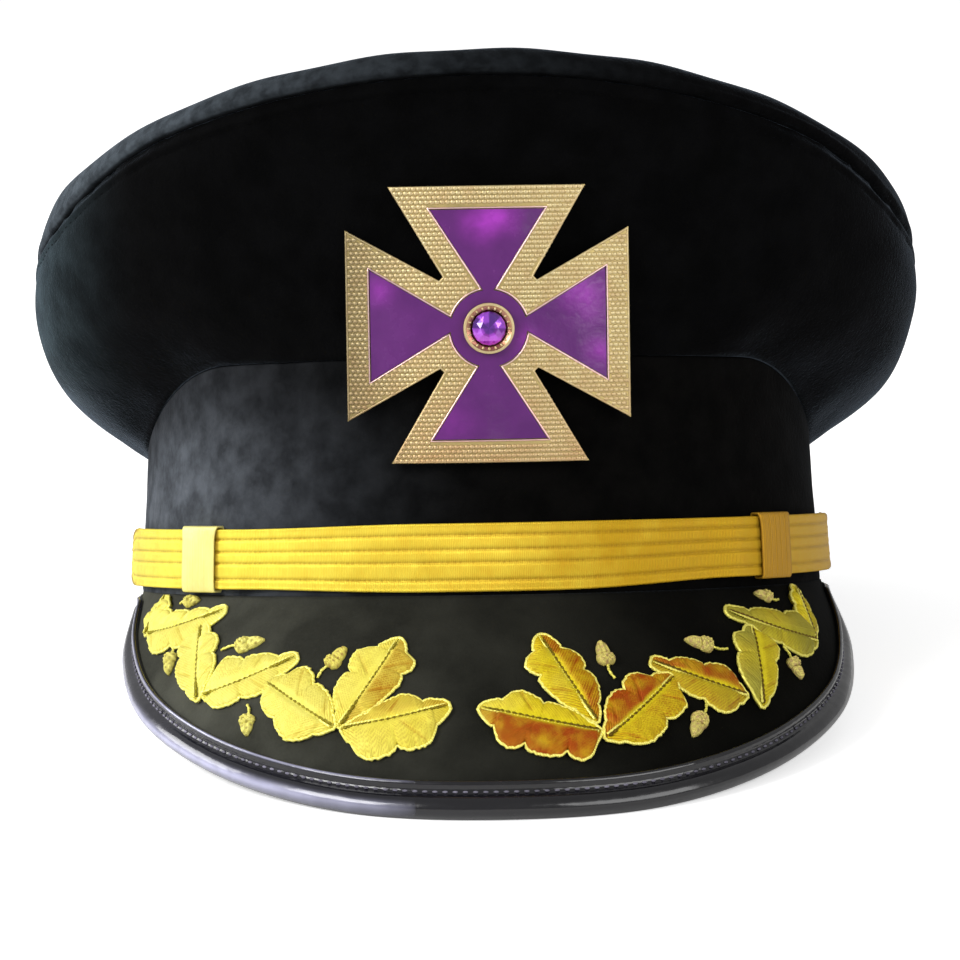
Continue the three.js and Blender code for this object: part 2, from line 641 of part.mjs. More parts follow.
const RIGHT_ACORNS = [
  { from: [-0.5, 0.375], to: [-0.42, 0.275], half: 2.5 },
  { from: [-0.29, 0.44], to: [-0.255, 0.28], half: 2.5 },
  { from: [-0.4, 0.65], to: [-0.385, 0.8], half: 2.3 },
  { from: [-0.637, 0.45], to: [-0.605, 0.655], half: 2.3 },
  { from: [-0.7, 0.1], to: [-0.645, 0.05], half: 2 },
];
const EMBROIDERY_RIDGE = 1.9; // height of a leaf or acorn along its middle
const EMBROIDERY_EDGE = 0.9;

// Half width as a share of half, from the base at 0 to the tip at 1.
const LEAF_OUTLINE = [
  { at: 0, wide: 0.1 },
  { at: 0.1, wide: 0.22 },
  { at: 0.2, wide: 0.68 },
  { at: 0.29, wide: 0.52 },
  { at: 0.4, wide: 0.95 },
  { at: 0.5, wide: 0.74 },
  { at: 0.6, wide: 1 },
  { at: 0.7, wide: 0.7 },
  { at: 0.8, wide: 0.74 },
  { at: 0.88, wide: 0.42 },
  { at: 0.96, wide: 0.36 },
  { at: 1, wide: 0.1 },
];
const ACORN_OUTLINE = [
  { at: 0, wide: 0.2 },
  { at: 0.32, wide: 0.24 },
  { at: 0.38, wide: 0.8 },
  { at: 0.5, wide: 1 },
  { at: 0.62, wide: 0.96 },
  { at: 0.64, wide: 0.74 },
  { at: 0.82, wide: 0.66 },
  { at: 0.94, wide: 0.34 },
  { at: 1, wide: 0.1 },
];

// A point beside the line from base to tip, at a share of its length, sideways millimetres off it.
function besideLine({ from, to }, at, sideways, lift) {
  const [along, out] = [lerp(from[0], to[0], at), lerp(from[1], to[1], at)];
  const perAlong = onVisor(along + 0.01, out, 0).sub(onVisor(along - 0.01, out, 0)).divideScalar(0.02);
  const perOut = onVisor(along, out + 0.01, 0).sub(onVisor(along, out - 0.01, 0)).divideScalar(0.02);
  const forward = perAlong.clone().multiplyScalar(to[0] - from[0]).addScaledVector(perOut, to[1] - from[1]);
  const side = visorNormal(along, out).cross(forward).normalize();
  const [aa, ao, oo] = [perAlong.dot(perAlong), perAlong.dot(perOut), perOut.dot(perOut)];
  const [sa, so] = [side.dot(perAlong), side.dot(perOut)];
  const share = sideways / (aa * oo - ao * ao);
  return onVisor(along + share * (oo * sa - ao * so), out + share * (aa * so - ao * sa), lift);
}

function cushionGeometry(row, outline) {
  const face = (heights) =>
    [-1, 0, 1].map((across, i) =>
      outline.map(({ at, wide }) => besideLine(row, at, across * wide * row.half, heights[i])),
    );
  const edge = GAP + EMBROIDERY_EDGE;
  return wallGeometry(face([edge, GAP + EMBROIDERY_RIDGE, edge]), face([GAP, GAP, GAP]));
}

const embroidery = new THREE.Group();
cap.add(embroidery);

function spray(kind, rows, outline) {
  rows.forEach((row, i) => piece(`${kind}_${i + 1}`, cushionGeometry(row, outline), GOLD_THREAD, embroidery));
}
spray("leaf_left", LEFT_LEAVES, LEAF_OUTLINE);
spray("leaf_right", RIGHT_LEAVES, LEAF_OUTLINE);
spray("acorn_left", LEFT_ACORNS, ACORN_OUTLINE);
spray("acorn_right", RIGHT_ACORNS, ACORN_OUTLINE);

// Lean the cap back until it stands on the visor's front edge and the back of the band, then put the middle
// of its footprint at the origin.
const front = EDGE_POINTS[0];
cap.rotation.x = -Math.atan2(front.below + BINDING_OUTSIDE, HALF_LENGTH + front.forward);
cap.updateMatrixWorld(true);
const bounds = new THREE.Box3().setFromObject(cap, true);
const middle = bounds.getCenter(new THREE.Vector3());
cap.position.set(-middle.x, -middle.y, -bounds.min.z);

const model = new THREE.Group();
model.add(cap);

export default model;
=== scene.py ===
"""Dresses the packed fatigue cap: wool cloth, patent leather, gold lace, an enamelled cross and two sprays
of padded gold embroidery.  Shapes are worked out in millimetres in the cap's own frame, with the band's
bottom edge at height 0 and the front towards -Y, and are placed in the frame of the packed model."""

import json
import math

import bpy
import numpy as np
from mathutils import Matrix, Vector


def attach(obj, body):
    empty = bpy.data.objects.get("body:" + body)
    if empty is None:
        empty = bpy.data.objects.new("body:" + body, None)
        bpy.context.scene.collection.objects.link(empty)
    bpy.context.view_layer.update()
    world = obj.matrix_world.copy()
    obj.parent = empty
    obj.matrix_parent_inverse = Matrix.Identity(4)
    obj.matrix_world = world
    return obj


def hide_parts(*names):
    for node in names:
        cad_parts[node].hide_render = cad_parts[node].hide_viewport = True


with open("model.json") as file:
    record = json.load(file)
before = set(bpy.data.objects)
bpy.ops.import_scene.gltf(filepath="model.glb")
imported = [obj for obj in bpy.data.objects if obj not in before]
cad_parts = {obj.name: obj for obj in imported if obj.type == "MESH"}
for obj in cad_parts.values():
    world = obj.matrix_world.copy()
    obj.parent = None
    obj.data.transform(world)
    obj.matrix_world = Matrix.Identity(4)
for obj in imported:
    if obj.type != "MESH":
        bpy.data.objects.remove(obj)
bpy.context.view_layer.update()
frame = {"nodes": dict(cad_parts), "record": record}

bl_info = {
    "name": "Fatigue cap",
    "version": (1, 0, 0),
    "blender": (4, 5, 0),
    "location": "3D View > Sidebar > Cap",
    "description": "Dresses the packed fatigue cap piece by piece",
    "category": "Object",
}

MM = 0.001

# The cap's own frame, from the packed rest point under the back of the band
REST = frame["record"]["mounts"][0]
LEAN = math.atan2(REST["axis"][1], -REST["axis"][2])
TURN = np.array(Matrix.Rotation(LEAN, 3, "X"))

# Sizes that the packed model has, in millimetres and degrees
HALF_WIDTH = 91.5
HALF_LENGTH = 104.0
GAP = 0.3
BAND_WALL = 2.6
BAND_FRONT_HEIGHT = 57.5
BAND_BACK_HEIGHT = 33.0
BAND_DROP = (47.0, 100.0)
BAND_LEAN_SIDE = 0.06
BAND_LEAN_FRONT = 0.015
CROWN_WALL = 2.0
SEAM = {"middle": 98.6, "slope": 19.4, "saddle": 9.2, "sweep": 2.2, "lopsided": 0.5}
SEAM_ROW = 7.9
SEAM_RADIUS = 112.0
TOP_SAG = 1.5
VISOR_THICK = 2.2
VISOR_CAMBER = 0.027
VISOR_REACH = 80.0
VISOR_TWIST = 1.2
BINDING_LAP = 6.8
STRAP_BOTTOM = 1.1
STRAP_WIDTH = 15.0
STRAP_SWELL = 0.115
STRAP_LIFT = 1.0
STRAP_THICK = 0.9
STRAP_REACH = 85.0
TIP_ROUND = 7.0
UNDERLAY_THICK = 0.8
UNDERLAY_FROM = 44.0
UNDERLAY_REACH = 86.5
KEEPER_WALL = 0.55
KEEPER_MARGIN = 0.9
KEEPER_FROM = 46.8
KEEPER_TO = 54.8
UNDERLAY_OUT = GAP + KEEPER_WALL + GAP
STRAP_SIDE_OUT = UNDERLAY_OUT + UNDERLAY_THICK + GAP
BADGE_HEIGHT = 65.2
BADGE_TALL = 0.97
BADGE_STAND_OUT = 2.5
BADGE_LEAN = 3.2
BADGE_BEND_RADIUS = 100.0
BADGE_REACH = 34.6
BADGE_ARM_HALF = 24.0
BADGE_NOTCH = 11.0
PLATE_THICK = 1.8
SETTING_DROP = 1.0
ENAMEL_INSET = 5.6
ENAMEL_ARM_HALF = 14.3
ENAMEL_NECK_HALF = 1.0
ENAMEL_DISC = 9.6
BEZEL_OUTER = 6.2
BEZEL_INNER = 4.4

# The crown's side: how far it stands out and its share of the rise from the band's edge to its upper end,
# in front, at the sides and at the back
CROWN_ROWS = np.array(
    [
        (-0.9, 0.0, -2.4, 0.0, -2.4, 0.0),
        (-0.3, 0.1, 5.6, 0.1, 2.5, 0.11),
        (0.4, 0.24, 13.2, 0.2, 8.0, 0.22),
        (1.1, 0.38, 19.2, 0.3, 13.0, 0.33),
        (1.8, 0.52, 23.2, 0.41, 17.5, 0.45),
        (3.2, 0.65, 26.0, 0.55, 21.0, 0.58),
        (6.0, 0.78, 27.5, 0.7, 23.4, 0.72),
        (9.6, 0.89, 26.8, 0.85, 24.2, 0.86),
        (13.5, 1.0, 24.6, 1.0, 23.5, 1.0),
    ]
)
# The roll from the seam to the top panel: inward, up
ROLL_ROWS = np.array([(0.0, 0.3), (-0.5, 2.0), (0.9, 4.4), (4.0, 6.3), (9.0, 6.9)])
# The visor's edge from the front to one end: across, forward, below
EDGE_POINTS = np.array(
    [
        (0.0, 140.6, 49.6),
        (36.2, 133.4, 48.2),
        (65.8, 112.0, 41.9),
        (86.2, 80.4, 31.6),
        (93.6, 44.0, 18.6),
        (91.0, 17.0, 3.6),
    ]
)


def to_world(points):
    """Cap millimetres to metres in the packed model's frame."""
    back = np.array(REST["pos_m"]) - TURN @ np.array([0, (HALF_LENGTH - BAND_WALL / 2) * MM, 0])
    return np.asarray(points, float) * MM @ TURN.T + back


def smooth(value, start, end):
    share = np.clip((value - start) / (end - start), 0, 1)
    return share * share * (3 - 2 * share)


def through(values, at):
    """A smooth curve through evenly numbered values, read at one or more places."""
    values = np.asarray(values, float)
    ends = [2 * values[0] - values[1], 2 * values[-1] - values[-2]]
    padded = np.concatenate([ends[:1], values, ends[1:]])
    at = np.clip(np.asarray(at, float), 0, len(values) - 1)
    i = np.minimum(at.astype(int), len(values) - 2)
    t = at - i
    if values.ndim > 1:
        t = t[..., None]
    a, b, c, d = (padded[i + k] for k in range(4))
    return b + 0.5 * t * (c - a + t * (2 * a - 5 * b + 4 * c - d + t * (3 * (b - c) + d - a)))


def bell(distance, width):
    return np.exp(-((distance / width) ** 2))


def run_along(path):
    """Lengths from the first place of a path, or down each column of a grid."""
    steps = np.linalg.norm(np.diff(path, axis=0), axis=-1)
    return np.concatenate([np.zeros_like(steps[:1]), steps.cumsum(axis=0)])


def from_front(turn):
    """Degrees round from the front, to either side."""
    return np.abs((np.asarray(turn) + 540) % 360 - 180)


def on_oval(turn, out, height):
    """A point on the head's oval, turn degrees round from the front towards the wearer's left."""
    angle = np.radians(turn)
    x = (HALF_WIDTH + out) * np.sin(angle)
    y = -(HALF_LENGTH + out) * np.cos(angle)
    return np.stack(np.broadcast_arrays(x, y, height), axis=-1)


def shares(turn):
    """Shares of the front, side and back shapes at an angle round the cap."""
    side = np.sin(np.radians(turn)) ** 2
    front = np.where(np.cos(np.radians(turn)) > 0, 1 - side, 0)
    return front, side, 1 - side - front


def band_top(turn):
    fall = smooth(from_front(turn), *BAND_DROP)
    return BAND_FRONT_HEIGHT + (BAND_BACK_HEIGHT - BAND_FRONT_HEIGHT) * fall


def band_lean(turn, height):
    side = shares(turn)[1]
    return -height * (BAND_LEAN_FRONT + (BAND_LEAN_SIDE - BAND_LEAN_FRONT) * side)


def on_band(turn, out, height):
    return on_oval(turn, band_lean(turn, height) + out, height)


def seam_height(turn):
    t = np.radians(turn)
    waves = SEAM["slope"] * np.cos(t) + SEAM["saddle"] * np.cos(2 * t) - SEAM["sweep"] * np.cos(3 * t)
    return SEAM["middle"] + waves - SEAM["lopsided"] * np.sin(t)


def blend_round(turn, row):
    return sum(share * value for share, value in zip(shares(turn), row))


def seam_row(turn):
    """The row of the crown's side where the top panel's roll is sewn on: lower at both sides."""
    away = from_front(turn)
    return SEAM_ROW - 0.58 * smooth(away, 46, 74) + 0.25 * smooth(away, 110, 170)


def crown_point(turn, at):
    """A point of the crown's side, where at is 0 at the band and 8 at its upper end."""
    row = [through(CROWN_ROWS[:, k], at) for k in range(6)]
    out = blend_round(turn, row[0::2])
    rise = blend_round(turn, row[1::2])
    foot = band_top(turn) + GAP
    return on_oval(turn, out, foot + (seam_height(turn) - foot) * rise)


def roll_point(turn, at):
    """A point of the roll above the seam, where at is 0 at the seam and 4 at the top panel."""
    inward, up = (through(ROLL_ROWS[:, k], at) for k in range(2))
    out = blend_round(turn, CROWN_ROWS[-1, 0::2])
    plain = on_oval(turn, out - inward, seam_height(turn) + up)
    sewn = crown_point(turn, seam_row(turn)) + (0, 0, GAP)
    foot = on_oval(turn, out, seam_height(turn) + GAP)
    return plain + (sewn - foot) * np.broadcast_to(1 - smooth(at, 0, 2.2), plain.shape[:-1])[..., None]


def panel_point(turn, share):
    """A point of the top panel, where share is 0 in the middle and 1 at the roll."""
    def edge(at):
        return seam_height(at) + ROLL_ROWS[-1, 1]
    front, side, back = edge(0), edge(90), edge(180)
    t = np.radians(turn)
    middle = (front + back + 2 * side) / 4
    slope = (front - back) / 2 * np.cos(t)
    saddle = (front + back - 2 * side) / 4 * np.cos(2 * t)
    rest = edge(turn) - middle - slope - saddle
    height = middle + slope * share + saddle * share**2 + rest * share**4 - TOP_SAG * (1 - share**2)
    rim = roll_point(turn, 4.0)
    flat = rim[..., :2] * np.broadcast_to(share, height.shape)[..., None]
    return np.concatenate([flat, height[..., None]], axis=-1)


def visor_edge(along):
    twist = VISOR_TWIST * EDGE_POINTS[:, 1] / EDGE_POINTS[0, 1]
    left = np.stack([EDGE_POINTS[:, 0] + twist, -EDGE_POINTS[:, 1], -EDGE_POINTS[:, 2]], axis=-1)
    right = np.stack([twist - EDGE_POINTS[:, 0], -EDGE_POINTS[:, 1], -EDGE_POINTS[:, 2]], axis=-1)
    points = np.concatenate([right[:0:-1], left])
    return through(points, (np.asarray(along) + 1) / 2 * (len(points) - 1))


def visor_flat(along, out):
    along, out = np.broadcast_arrays(along, out)
    inner = on_oval(along * VISOR_REACH, GAP, -2 * GAP)
    return inner + (visor_edge(along) - inner) * out[..., None]


def visor_length(along):
    """How far the visor reaches from the band to its edge."""
    return np.linalg.norm(visor_flat(along, 1.0) - visor_flat(along, 0.0), axis=-1)


def unit(vectors):
    return vectors / np.maximum(np.linalg.norm(vectors, axis=-1, keepdims=True), 1e-9)


def visor_normal(along, out):
    before = np.maximum(along - 0.005, -1)
    round_it = visor_flat(before + 0.01, out) - visor_flat(before, out)
    outward = visor_flat(along, 1.0) - visor_flat(along, 0.0)
    return unit(np.cross(outward, round_it))


def on_visor(along, out, lift):
    """A point over the visor.  along is -1 and 1 at its ends, out is 0 at the band and 1 at its edge."""
    along, out, lift = (np.asarray(v, float) for v in np.broadcast_arrays(along, out, lift))
    rise = VISOR_CAMBER * visor_length(along) * 4 * out * (1 - out) + lift
    return visor_flat(along, out) + visor_normal(along, out) * rise[..., None]


def beside_line(start, end, at, sideways, lift):
    """A point over the visor beside the line from start to end, sideways millimetres off it."""
    step = 0.01

    def dot(first, second):
        return (first * second).sum(-1)

    along = start[0] + (end[0] - start[0]) * at
    out = start[1] + (end[1] - start[1]) * at
    per_along = (on_visor(along + step, out, 0) - on_visor(along - step, out, 0)) / (2 * step)
    per_out = (on_visor(along, out + step, 0) - on_visor(along, out - step, 0)) / (2 * step)
    forward = per_along * (end[0] - start[0]) + per_out * (end[1] - start[1])
    side = unit(np.cross(visor_normal(along, out), forward))
    # The step sideways, solved for its parts along and out
    aa, ao, oo = dot(per_along, per_along), dot(per_along, per_out), dot(per_out, per_out)
    sa, so = dot(side, per_along), dot(side, per_out)
    share = sideways / (aa * oo - ao * ao)
    return on_visor(along + share * (oo * sa - ao * so), out + share * (aa * so - ao * sa), lift)


# Meshes
def grid_normals(grid, around, outside_of):
    """Unit normals of a grid of points, pointing away from the point outside_of."""
    down = np.gradient(grid, axis=0)
    if around:
        along = np.roll(grid, -1, axis=1) - np.roll(grid, 1, axis=1)
    else:
        along = np.gradient(grid, axis=1)
    normals = unit(np.cross(along, down))
    if (normals * (grid - np.asarray(outside_of))).sum() < 0:
        normals = -normals
    return normals


def grid_mesh(face, back, around=False, pole=False):
    """Corners, faces and grid places of a closed wall between two grids, with its faces outwards."""
    rows, columns = face.shape[:2]
    spans = columns if around else columns - 1
    i, j = (v.ravel() for v in np.meshgrid(np.arange(rows - 1), np.arange(spans), indexing="ij"))
    k = np.arange(spans)
    r = np.arange(rows - 1)
    zero, last = np.zeros_like(k), np.full_like(k, rows - 1)
    quads = [
        [(0, i, j), (0, i, j + 1), (0, i + 1, j + 1), (0, i + 1, j)],
        [(1, i, j), (1, i + 1, j), (1, i + 1, j + 1), (1, i, j + 1)],
        [(0, zero, k), (1, zero, k), (1, zero, k + 1), (0, zero, k + 1)],
    ]
    if not pole:
        quads.append([(0, last, k), (0, last, k + 1), (1, last, k + 1), (1, last, k)])
    if not around:
        start, end = np.zeros_like(r), np.full_like(r, columns - 1)
        quads.append([(0, r, start), (0, r + 1, start), (1, r + 1, start), (1, r, start)])
        quads.append([(0, r, end), (1, r, end), (1, r + 1, end), (0, r + 1, end)])
    faces, places = [], []
    for corners in quads:
        numbers = [(wall * rows + row) * columns + column % columns for wall, row, column in corners]
        faces.append(np.stack(numbers, axis=-1))
        places.append(np.stack([np.stack([row, column], axis=-1) for _, row, column in corners], axis=1))
    points = np.concatenate([face.reshape(-1, 3), back.reshape(-1, 3)])
    faces, places = np.concatenate(faces), np.concatenate(places)
    a, b, c, d = (points[faces[:, corner]] for corner in range(4))
    volume = (np.cross(a, b) * c).sum() + (np.cross(a, c) * d).sum()
    if volume < 0:
        faces, places = faces[:, ::-1], places[:, ::-1]
    return points, faces, places


def make_object(name, points, faces, materials, slot, uv=None, tone=None, material_index=None):
    """A mesh object from corners in cap millimetres.  uv holds millimetres for each corner of each face."""
    mesh = bpy.data.meshes.new(name)
    mesh.from_pydata(to_world(points).tolist(), [], [list(face) for face in faces])
    if uv is not None:
        layer = mesh.uv_layers.new(name="Cloth")
        layer.data.foreach_set("uv", (np.asarray(uv) * MM).astype(np.float32).ravel())
    if tone is not None:
        colors = np.ones((len(points), 4), np.float32)
        colors[:, :3] = tone if np.ndim(tone) == 2 else np.asarray(tone)[:, None]
        attribute = mesh.color_attributes.new(name="tone", type="FLOAT_COLOR", domain="POINT")
        attribute.data.foreach_set("color", colors.ravel())
    for material in materials:
        mesh.materials.append(material)
    if material_index is not None:
        mesh.polygons.foreach_set("material_index", np.asarray(material_index, np.int32))
    mesh.polygons.foreach_set("use_smooth", np.full(len(mesh.polygons), True))
    mesh.update()
    obj = bpy.data.objects.new(name, mesh)
    bpy.context.scene.collection.objects.link(obj)
    return finish_piece(obj, slot)


def finish_piece(obj, slot, *nodes):
    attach(obj, "root")
    if nodes:
        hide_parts(*nodes)
    return obj


def wall_piece(name, face, back, material, slot, uv, around=False, pole=False, tone=None):
    """A closed wall between two grids.  uv and tone are given for each point of a grid."""
    points, faces, places = grid_mesh(face, back, around, pole)
    corner_uv = uv[places[..., 0], places[..., 1]].reshape(-1, 2)
    tone = None if tone is None else np.tile(np.ravel(tone), 2)
    obj = make_object(name, points, faces, [material], slot, corner_uv, tone)
    if pole:
        merge_pole(obj)
    return obj


def merge_pole(obj):
    only(obj)
    bpy.ops.object.mode_set(mode="EDIT")
    bpy.ops.mesh.select_all(action="SELECT")
    bpy.ops.mesh.remove_doubles(threshold=1e-6)
    bpy.ops.object.mode_set(mode="OBJECT")


def select_corners(obj, test):
    """Goes into edit mode with only those corners selected that pass a test of their place."""
    only(obj)
    bpy.ops.object.mode_set(mode="EDIT")
    bpy.ops.mesh.select_mode(type="VERT")
    bpy.ops.mesh.select_all(action="DESELECT")
    bpy.ops.object.mode_set(mode="OBJECT")
    for vertex in obj.data.vertices:
        vertex.select = test(vertex.co)
    bpy.ops.object.mode_set(mode="EDIT")


def only(*objs):
    """Selects these objects alone, the first of them active."""
    bpy.ops.object.select_all(action="DESELECT")
    for obj in objs:
        obj.select_set(True)
    bpy.context.view_layer.objects.active = objs[0]


def length_uv(grid, around):
    """Lengths along and across a grid of points, for its UV map, with one more column where it closes."""
    closed = np.concatenate([grid, grid[:, :1]], axis=1) if around else grid
    down = run_along(closed)
    along = run_along(closed[len(closed) // 2])
    return np.stack([np.broadcast_to(along, down.shape), down], axis=-1)


def tube(points, normals, radius, sides=8, closed=False, rope=None):
    """Corners and quads of a tube along points.  rope is the pitch of its twist, in millimetres."""
    ahead = np.roll(points, -1, axis=0) - np.roll(points, 1, axis=0)
    if not closed:
        ahead[0] = points[1] - points[0]
        ahead[-1] = points[-1] - points[-2]
    ahead = unit(ahead)
    side = unit(np.cross(ahead, normals))
    up = np.cross(side, ahead)
    angle = np.arange(sides) * 2 * np.pi / sides
    size = np.broadcast_to(radius, (len(points),))[:, None] * np.ones(sides)
    if rope:
        run = run_along(points)[:, None]
        size = size * (1 + 0.2 * np.cos(2 * angle[None] - 2 * np.pi * run / rope))
    ring = side[:, None] * np.cos(angle)[None, :, None] + up[:, None] * np.sin(angle)[None, :, None]
    corners = points[:, None] + ring * size[..., None]
    count = len(points)
    spans = count if closed else count - 1
    i, k = (v.ravel() for v in np.meshgrid(np.arange(spans), np.arange(sides), indexing="ij"))
    after, beside = (i + 1) % count * sides, (k + 1) % sides
    faces = np.stack([i * sides + k, i * sides + beside, after + beside, after + k], axis=-1).tolist()
    if not closed:
        faces.append(list(range(sides))[::-1])
        faces.append(list(range((count - 1) * sides, count * sides)))
    return corners.reshape(-1, 3), faces


def joined(parts):
    """One list of corners and faces from several (corners, faces), and the number of faces of each."""
    points, faces, counts, offset = [], [], [], 0
    for corners, polygons in parts:
        points.append(corners)
        faces.extend([[index + offset for index in polygon] for polygon in polygons])
        counts.append(len(polygons))
        offset += len(corners)
    return np.concatenate(points), faces, counts


def template(shape):
    """Corners and faces of an object that is copied many times, in millimetres, and is then removed."""
    corners = np.array([v.co for v in shape.data.vertices]) / MM
    faces = [list(p.vertices) for p in shape.data.polygons]
    bpy.data.objects.remove(shape)
    return corners, faces


def copies(shape, places, axes):
    """Copies of a shape at places, turned by axes, which hold its three directions as rows."""
    corners, faces = shape
    points = np.einsum("vk,nkc->nvc", corners, axes) + np.asarray(places)[:, None]
    return points.reshape(-1, 3), [
        [index + n * len(corners) for index in face] for n in range(len(places)) for face in faces
    ]


# Materials
def new_group(name, inputs):
    """A node group and its inputs, each a number with a default."""
    tree = bpy.data.node_groups.new(name, "ShaderNodeTree")
    for label, default in inputs.items():
        made = tree.interface.new_socket(label, in_out="INPUT", socket_type="NodeSocketFloat")
        made.default_value = default
    return tree, tree.nodes.new("NodeGroupInput").outputs


def put_out(tree, values):
    """Makes a group's outputs, each a number, and links a value to each."""
    for label in values:
        tree.interface.new_socket(label, in_out="OUTPUT", socket_type="NodeSocketFloat")
    made = tree.nodes.new("NodeGroupOutput")
    for label, value in values.items():
        tree.links.new(value, made.inputs[label])


def use_group(tree, name, **inputs):
    """A group's outputs, with values for its inputs."""
    made = tree.nodes.new("ShaderNodeGroup")
    made.node_tree = bpy.data.node_groups[name]
    for key, value in inputs.items():
        made.inputs[key.replace("_", " ").capitalize()].default_value = value
    return made.outputs


def add(tree, kind, inputs=(), **settings):
    """A node with its settings and inputs, each a value or another node's output."""
    made = tree.nodes.new(kind)
    for key, value in settings.items():
        setattr(made, key, value)
    for key, value in dict(inputs).items():
        if isinstance(value, bpy.types.NodeSocket):
            tree.links.new(value, made.inputs[key])
        else:
            made.inputs[key].default_value = value
    return made


def maths(tree, operation, a, b=0.0):
    return add(tree, "ShaderNodeMath", {0: a, 1: b}, operation=operation).outputs[0]


def times(tree, a, b):
    return maths(tree, "MULTIPLY", a, b)


def added(tree, a, b):
    return maths(tree, "ADD", a, b)


def vector_maths(tree, operation, a, b, output="Value"):
    return add(tree, "ShaderNodeVectorMath", {0: a, 1: b}, operation=operation).outputs[output]


def mixed(tree, share, *colors):
    """A colour between two colours, each plain or another node's output."""
    first, second = (c if isinstance(c, bpy.types.NodeSocket) else (*c[:3], 1.0) for c in colors)
    return add(tree, "ShaderNodeMix", {"Factor": share, 6: first, 7: second}, data_type="RGBA").outputs[2]


def noise(tree, place, scale, detail=2.0, roughness=0.5):
    inputs = {"Vector": place, "Scale": scale, "Detail": detail, "Roughness": roughness}
    return add(tree, "ShaderNodeTexNoise", inputs).outputs[0]


def ranged(tree, value, low, high, to_low=0.0, to_high=1.0):
    inputs = {"Value": value, "From Min": low, "From Max": high, "To Min": to_low, "To Max": to_high}
    return add(tree, "ShaderNodeMapRange", inputs).outputs[0]


def place_in(tree, kind="Object"):
    return add(tree, "ShaderNodeTexCoord").outputs[kind]


def painted_tone(tree):
    return add(tree, "ShaderNodeVertexColor", layer_name="tone").outputs["Color"]


def sideways(tree, full, none, power=1.0):
    """A share that falls from 1 to 0 between two places across the cap, in metres, with which the materials
    paint light and shade across the cap.
    """
    across = add(tree, "ShaderNodeSeparateXYZ", {0: place_in(tree)}).outputs["X"]
    return maths(tree, "POWER", ranged(tree, across, full, none, 1.0, 0.0), power)


def scaled(color, factor):
    return [c * factor for c in color[:3]]


def wool_group():
    """Wool nap: broad shading with short fibres, their height, and lint."""
    tree, given = new_group("Wool nap", {"Fibre size": 0.0009, "Patch size": 0.03})
    place = place_in(tree)
    fibre_scale = maths(tree, "DIVIDE", 1.0, given["Fibre size"])
    patch_scale = maths(tree, "DIVIDE", 1.0, given["Patch size"])
    fibres = noise(tree, place, fibre_scale, 3.0, 0.7)
    tufts = noise(tree, place, times(tree, fibre_scale, 0.28), 2.0)
    fine = added(tree, times(tree, fibres, 0.65), times(tree, tufts, 0.35))
    broad = ranged(tree, noise(tree, place, patch_scale, 3.0, 0.55), 0.36, 0.64)
    shade = added(tree, times(tree, broad, 0.55), times(tree, fine, 0.45))
    lint = ranged(tree, noise(tree, place, times(tree, fibre_scale, 1.4), 1.0), 0.68, 0.8)
    put_out(tree, {"Shade": shade, "Height": fine, "Lint": lint})


def thread_group():
    """Fine threads across the UV map's first direction, slanted to both sides of its middle line. Its Shade
    is painted shade between the threads, with painted glints.
    """
    tree, given = new_group("Thread run", {"Pitch": 0.0004, "Slant": 0.0})
    place = place_in(tree, "UV")
    parts = add(tree, "ShaderNodeSeparateXYZ", {0: place}).outputs
    slanted = times(tree, maths(tree, "ABSOLUTE", parts["Y"]), given["Slant"])
    run = maths(tree, "SUBTRACT", parts["X"], slanted)
    run = added(tree, run, times(tree, noise(tree, place, 900.0, 1.0), 0.0002))
    turns = maths(tree, "DIVIDE", run, given["Pitch"])
    height = ranged(tree, maths(tree, "SINE", times(tree, turns, 2 * math.pi)), -1.0, 1.0)
    # Painted glints on the threads
    glint = noise(tree, place, 420.0, 2.0)
    shade = added(tree, times(tree, height, 0.5), times(tree, glint, 0.5))
    put_out(tree, {"Shade": shade, "Height": height})


def handling_group():
    """Handling: faint smudges and tiny specks on polished surfaces."""
    tree, given = new_group("Handling", {"Size": 0.006})
    place = place_in(tree)
    scale = maths(tree, "DIVIDE", 1.0, given["Size"])
    smudge = ranged(tree, noise(tree, place, scale, 4.0, 0.6), 0.35, 0.7)
    speck = ranged(tree, noise(tree, place, times(tree, scale, 14.0), 2.0), 0.62, 0.75)
    put_out(tree, {"Smudge": smudge, "Speck": speck})


def new_material(name, **settings):
    """A material, its tree and its shader, with constant values on the shader's own sockets."""
    material = bpy.data.materials.new(name)
    material.use_nodes = True
    tree = material.node_tree
    shader = tree.nodes["Principled BSDF"]
    for key, value in settings.items():
        shader.inputs[key.replace("_", " ").title().replace("Ior", "IOR")].default_value = value
    return material, tree, shader


def link_looks(tree, shader, color, roughness, height=None, distance=0.0, strength=0.0):
    """Links a colour, a roughness and the bump of a height to a shader."""
    looks = {"Base Color": color, "Roughness": roughness}
    if height is not None:
        inputs = {"Height": height, "Distance": distance, "Strength": strength}
        looks["Normal"] = add(tree, "ShaderNodeBump", inputs).outputs[0]
    for label, value in looks.items():
        tree.links.new(value, shader.inputs[label])


SHEEN_TINT = (0.62, 0.76, 0.95, 1.0)
LINT = (0.07, 0.075, 0.085)
# Colour of the painted highlight on the patent leather
PATENT_PAINTED_HIGHLIGHT = (0.5, 0.5, 0.68)


